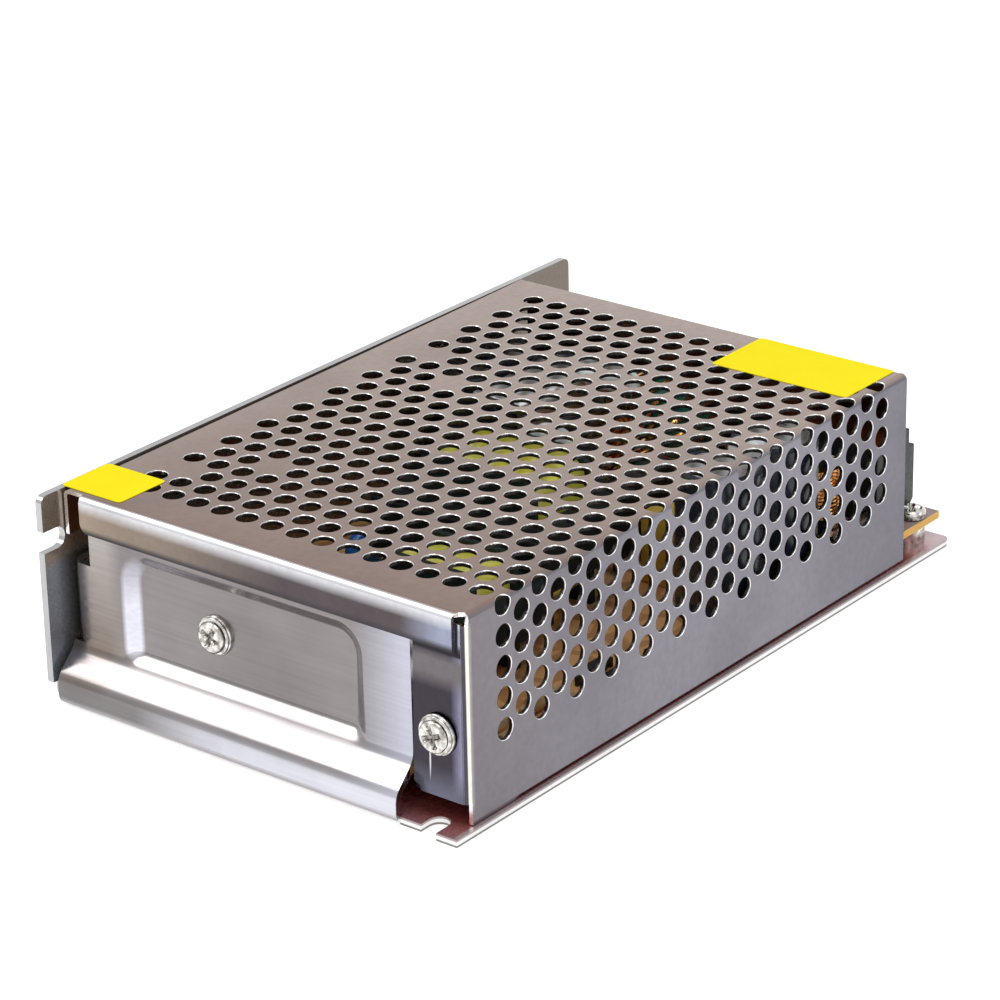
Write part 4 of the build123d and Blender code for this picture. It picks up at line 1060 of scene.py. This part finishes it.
def screw_head(shape, seat, angle, radius, height, crown=0.7, depth=1.0):
    """A domed head with a cross recess and a narrow neck, standing on its seat along the matrix's Z."""
    placed = seat @ Matrix.Rotation(math.radians(angle), 4, "Z")
    levels = []
    for ring in range(HEAD_RINGS + 1):
        r = radius * ring / HEAD_RINGS
        rounding = max(0.0, (r - radius + crown) / crown)
        top = height - HEAD_DOME - crown + crown * math.sqrt(max(0.0, 1 - rounding ** 2))
        levels.append((r, top + HEAD_DOME * (1 - (r / radius) ** 2), depth))
    levels += [(radius - inset, rise, 0) for inset, rise in NECK]
    grid = []
    for r, top, deep in levels:
        row = []
        for turn in turns_of(HEAD_SEGMENTS if r else 1):
            x, y = r * math.cos(turn), r * math.sin(turn)
            z = top - deep * cross_depth(x, y, radius)
            row.append(shape.verts.new(placed @ Vector((x * MM, y * MM, z * MM))))
        grid.append(row)
    for number, step, face in skin(shape, grid):
        turn = 2 * math.pi * (step + 0.5) / HEAD_SEGMENTS
        r = (levels[number][0] + levels[number + 1][0]) / 2
        sunk = cross_depth(r * math.cos(turn), r * math.sin(turn), radius)
        # The deep part of the cross and the neck take the painted shade.
        face.material_index = int(sunk > CROSS_SHADE_DEPTH or number >= HEAD_RINGS)


def washer(shape, seat, radius, thickness, bore):
    """A flat ring with worn edges."""
    profile = [(bore, 0), (radius, 0), (radius, thickness - WASHER_EDGE)]
    profile += [(radius - WASHER_EDGE, thickness), (bore, thickness)]
    start = len(shape.verts)
    revolve(shape, Vector((0, 0, 0)), profile, HEAD_SEGMENTS)
    shape.verts.ensure_lookup_table()
    for vertex in shape.verts[start:]:
        vertex.co = seat @ vertex.co


def seat_matrix(spot, direction):
    """The placement of a screw whose head looks along a direction."""
    return Matrix.Translation(spot) @ Vector(direction).to_track_quat("Z", "Y").to_matrix().to_4x4()


def raised(seat, height):
    """A seat moved up along its own axis."""
    return seat @ Matrix.Translation((0, 0, height * MM))


def finish_screws(node, shape):
    stand_in(node, shape, [nickel, recess_shade], SCREW_SHARP)


def make_pan_screw(node, angle):
    """A screw with two washers, standing for a CAD screw that looks along -X."""
    low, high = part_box(node)
    middle = Vector([(a + b) / 2 for a, b in zip(low, high)])
    seat_x = low[0] + (WASHER_THICKNESS + HEAD_HEIGHT) * MM
    seat = seat_matrix(Vector((seat_x, middle.y, middle.z)), (-1, 0, 0))
    half = WASHER_THICKNESS / 2
    shape = bmesh.new()
    washer(shape, seat, WASHER_RADIUS, half, WASHER_BORE)
    washer(shape, raised(seat, half), WASHER_RADIUS - WASHER_STEP, half, WASHER_BORE)
    screw_head(shape, raised(seat, WASHER_THICKNESS), angle, HEAD_RADIUS, HEAD_HEIGHT, 0.5, 0.7)
    finish_screws(node, shape)


def make_flush_screws(node):
    """Countersunk screws that look along +Y, with their faces in the wall's outer face."""
    shape = bmesh.new()
    for number, (low, high) in enumerate(solids(node)):
        middle = (low + high) / 2
        seat = seat_matrix(Vector((middle.x, high.y - FLUSH_HEIGHT * MM, middle.z)), (0, 1, 0))
        screw_head(shape, seat, 30 + 41 * number, FLUSH_RADIUS, FLUSH_HEIGHT, 0.3)
        tip = seat_matrix(Vector((middle.x, low.y, middle.z)), (0, 1, 0))
        washer(shape, tip, SHANK_RADIUS, (high.y - low.y) / MM - FLUSH_HEIGHT, SHANK_BORE)
    finish_screws(node, shape)


def make_upright_screws(node, radius, head, crown):
    """Screws that look up, one for each solid of a CAD node."""
    shape = bmesh.new()
    for number, (low, high) in enumerate(solids(node)):
        middle = (low + high) / 2
        foot = Vector((middle.x, middle.y, high.z - head * MM))
        screw_head(shape, Matrix.Translation(foot), 17 + 53 * number, radius, head, crown)
    finish_screws(node, shape)


# Capacitors, coils and dipped discs

def make_cans(node):
    """Round capacitors: a sleeve with a crimped groove and a round shoulder, and a bright sunk top."""
    shape = bmesh.new()
    for low, high in solids(node):
        radius = (high.x - low.x) / 2 / MM
        tall = (high.z - low.z) / MM
        foot = foot_of(low, high)
        grooves = [share * tall for share in CAN_GROOVE_SHARES]
        rim, top = [share * radius for share in CAN_RIM_SHARES]
        body = [(0, 0), (radius - CAN_EDGE, 0), (radius, CAN_EDGE), (radius, grooves[0])]
        body += [(radius - CAN_GROOVE, grooves[1]), (radius - CAN_GROOVE, grooves[2]), (radius, grooves[3])]
        body += arc((radius - CAN_SHOULDER, tall - CAN_SHOULDER), CAN_SHOULDER, 0, 90)
        revolve(shape, foot, body + [(rim, tall), (top, tall - CAN_SINK)], 40)
        revolve(shape, foot, [(top, tall - CAN_SINK), (0, tall - CAN_SINK)], 40, index=1)
    stand_in(node, shape, [sleeve, can_top])


def make_disc(node, material):
    """A dipped disc with full edges on two leads."""
    low, high = [Vector(c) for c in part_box(node)]
    along_x = high.x - low.x < high.y - low.y
    half = min(high.x - low.x, high.y - low.y) / MM / 2
    radius = max(high.x - low.x, high.y - low.y) / 2 / MM
    foot = foot_of(low, high)
    centre = Vector((foot.x, foot.y, high.z - radius * MM))
    side = [(0, -half), (radius - half, -half)] + arc((radius - half, 0), half, -90, 90, 8) + [(0, half)]
    shape = bmesh.new()
    revolve(shape, centre, side, 40, "X" if along_x else "Y")
    run = (centre.z - low.z) / MM - radius * LEAD_END_SHARE
    for sign in (-1, 1):
        offset = Vector((0, sign * radius / 2, 0) if along_x else (sign * radius / 2, 0, 0)) * MM
        lead = [(0, 0), (LEAD_RADIUS, 0), (LEAD_RADIUS, run), (0, run)]
        revolve(shape, foot + offset, lead, 12, index=1)
    stand_in(node, shape, [material, tinned])


def loop_tube(shape, seat, half_wide, half_tall, wire):
    """One turn of thick wire round a rectangular section, in the seat's X-Z plane."""
    path = rounded((-half_wide, -half_tall), (half_wide, half_tall), WIRE_CORNER, 3)
    rings = []
    for number, (x, z) in enumerate(path):
        before, after = path[number - 1], path[(number + 1) % len(path)]
        ahead = Vector((after[0] - before[0], 0, after[1] - before[1])).normalized()
        outward = Vector((ahead.z, 0, -ahead.x))
        ring = []
        for turn in turns_of(WIRE_SIDES):
            around = outward * math.cos(turn) + Vector((0, 1, 0)) * math.sin(turn)
            ring.append(shape.verts.new(seat @ ((Vector((x, 0, z)) + around * wire) * MM)))
        rings.append(ring)
    skin(shape, rings + rings[:1])


def make_choke_winding():
    """Copper turns side by side round the output choke's ring."""
    low, high = [Vector(c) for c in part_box("choke_core")]
    outer = (high.z - low.z) / 2 / MM
    wide = (high.x - low.x) / 2 / MM + CHOKE_WIRE
    tall = (outer - CHOKE_BORE) / 2 + CHOKE_WIRE
    middle = (outer + CHOKE_BORE) / 2
    shape = bmesh.new()
    for turn in range(CHOKE_TURNS):
        angle = ((turn + 0.5) / CHOKE_TURNS - 0.5) * CHOKE_ARC
        seat = Matrix.Translation((low + high) / 2) @ Matrix.Rotation(math.radians(angle), 4, "X")
        loop_tube(shape, raised(seat, middle), wide, tall, CHOKE_WIRE)
    finish_mesh("choke_turns", shape, [copper], ["choke_winding"])


def make_line_coils():
    """Layered copper coils round the line choke's legs."""
    shape = bmesh.new()
    for low, high in solids("line_choke_windings"):
        radius = (high.x - low.x) / 2 / MM
        tall = (high.z - low.z) / MM
        outer = []
        for turn in range(int(tall / (2 * COIL_WIRE))):
            middle = COIL_WIRE + turn * 2 * COIL_WIRE
            outer += arc((radius - COIL_WIRE, middle), COIL_WIRE, -80, 80, 4)
        revolve(shape, foot_of(low, high), [(COIL_BORE, 0)] + outer + [(COIL_BORE, tall)], 36)
    finish_mesh("line_coils", shape, [copper], ["line_choke_windings"])


def glue_lump(name, place, size, seed):
    """A lump of white silicone that holds parts together."""
    shape = bmesh.new()
    bmesh.ops.create_icosphere(shape, subdivisions=4, radius=1.0)
    for vertex in shape.verts:
        swell = 1 + GLUE_SWELL * noise.noise(vertex.co * GLUE_WAVES + Vector((seed, 0, 0)))
        spot = Vector([vertex.co[axis] * size[axis] * swell * MM for axis in range(3)])
        vertex.co = at(*place) + spot
    finish_mesh(name, shape, [glue])


# Stickers

def make_sticker(node, name):
    """A thin plain film with rounded corners, lying on the cover."""
    low, high = [Vector(c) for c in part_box(node)]
    outline = rounded(low, high, STICKER_CORNER * MM, 4)
    shape = bmesh.new()
    top = [shape.verts.new((x, y, high.z)) for x, y in outline]
    foot = [shape.verts.new((x, y, low.z)) for x, y in outline]
    shape.faces.new(top)
    shape.faces.new(list(reversed(foot)))
    skin(shape, [foot, top])
    finish_mesh(name, shape, [sticker_film], [node])


make_cover()
make_chassis()
make_pan_screw("cover_screw", 20)
make_pan_screw("clamp_screw", 65)
make_upright_screws("board_screws", 3.0, 2.0, 0.7)
make_upright_screws("terminal_screws", 3.3, 2.2, 0.5)
make_sticker("small_sticker", "small_plain_sticker")
make_sticker("large_sticker", "large_plain_sticker")
for can_node in ("bulk_capacitors", "output_capacitors", "small_capacitors"):
    make_cans(can_node)
make_disc("varistor", blue_dip)
make_disc("disc_capacitor", blue_dip)
make_disc("thermistor", green_dip)
make_choke_winding()
make_line_coils()
glue_lump("heatsink_glue", (116.6, 54.5, 38.3), (4.6, 8.0, 2.2), 3)
glue_lump("transformer_glue", (92.5, 50.0, 33.0), (4.0, 5.0, 3.4), 8)
glue_lump("capacitor_glue", (103.8, 11.0, 37.0), (3.4, 4.0, 2.6), 5)
eased("terminal_block", block_plastic, 0.3)
eased("main_winding", tape, 0.5)
eased("driver_winding", tape, 0.5)
eased("main_core", ferrite, 0.4)
eased("driver_core", ferrite, 0.4)
eased("heatsink", sink_metal, 0.15)
eased("film_capacitor", film_case, 0.6)
eased("line_choke_core", ferrite, 0.4)
eased("choke_core", core_paint, 0.4)
make_flush_screws("wall_screws")
dress(laminate, "circuit_board")
dress(nickel, "board_standoffs", "fuse_caps")
dress(tinned, "terminal_plates", "fuse_clips", "jumpers")
dress(trimmer_plastic, "trimmer_base")
dress(rotor_plastic, "trimmer_rotor")
dress(lamp_plastic, "indicator_lamp")
dress(fuse_glass, "fuse_tube")
dress(bobbin_plastic, "line_choke_base", "main_bobbin", "driver_bobbin")
dress(epoxy, "bridge_rectifier", "switching_transistors", "output_rectifier", "control_chip", "diodes")
dress(pad_rubber, "transistor_pad")
dress(sink_metal, "clamp_bar")
dress(lacquer, "resistors")


# Floor, light and camera

def seen_or_lit(tree, lit, seen):
    """One strength for the light that is given, another where camera, mirrors and glass look."""
    path = tree.nodes.new("ShaderNodeLightPath")
    rays = [path.outputs[f"Is {kind} Ray"] for kind in ("Camera", "Glossy", "Transmission")]
    return spread(tree, combined(tree, "MAXIMUM", *rays), 0, 1, lit, seen)


def stage_material():
    """A pale floor that the camera and reflections see as white, with the object's soft shadow."""
    material, tree, shader = new_material("pale_floor")
    shader.inputs["Base Color"].default_value = (0.82, 0.82, 0.82, 1)
    shader.inputs["Roughness"].default_value = 0.9
    shader.inputs["Specular IOR Level"].default_value = 0.0
    shader.inputs["Emission Color"].default_value = (1, 1, 1, 1)
    tree.links.new(seen_or_lit(tree, 0, FLOOR_GLOW), shader.inputs["Emission Strength"])
    return material


def make_floor():
    shape = bmesh.new()
    bmesh.ops.create_grid(shape, x_segments=2, y_segments=2, size=FLOOR_SIZE)
    bmesh.ops.translate(shape, verts=shape.verts, vec=(0, 0, -FLOOR_DROP))
    floor = mesh_object("floor", shape, [stage_material()])


def make_world():
    """White where it is seen or mirrored, and a plain soft light elsewhere."""
    world = bpy.data.worlds.new("studio")
    bpy.context.scene.world = world
    world.use_nodes = True
    tree = world.node_tree
    background = tree.nodes["Background"]
    background.inputs["Color"].default_value = (1, 1, 1, 1)
    tree.links.new(seen_or_lit(tree, WORLD_LIGHT, 1), background.inputs["Strength"])


def area_light(name, place, target, size, watts):
    data = bpy.data.lights.new(name, "AREA")
    data.shape = "DISK"
    data.size = size
    data.energy = watts
    lamp = new_object(name, data)
    lamp.location = place
    lamp.rotation_euler = (Vector(target) - Vector(place)).to_track_quat("-Z", "Y").to_euler()


def make_camera():
    """The camera that was fitted to the photograph."""
    heading, dip = math.radians(CAMERA_HEADING), math.radians(CAMERA_DIP)
    ahead = Vector((math.cos(dip) * math.cos(heading), math.cos(dip) * math.sin(heading), -math.sin(dip)))
    level = ahead.to_track_quat("-Z", "Y").to_matrix().to_4x4()
    roll = Matrix.Rotation(math.radians(-CAMERA_ROLL), 4, "Z")
    data = bpy.data.cameras.new("camera")
    data.sensor_width = CAMERA_SENSOR
    data.lens = CAMERA_LENS
    camera = new_object("camera", data)
    camera.matrix_world = Matrix.Translation(CAMERA_PLACE) @ level @ roll
    bpy.context.scene.camera = camera


make_floor()
make_world()
area_light("overhead", (-0.1, -0.15, 0.95), (0, 0, 0.02), 0.6, 3.6)
area_light("upper_left", (-0.43, 0.52, 0.65), (-0.08, 0, 0.01), 0.5, 2.0)
area_light("near_side", (0.35, -0.95, 0.35), (0, 0, 0.02), 0.5, 1.0)
make_camera()
bpy.context.scene.view_settings.view_transform = "Standard"
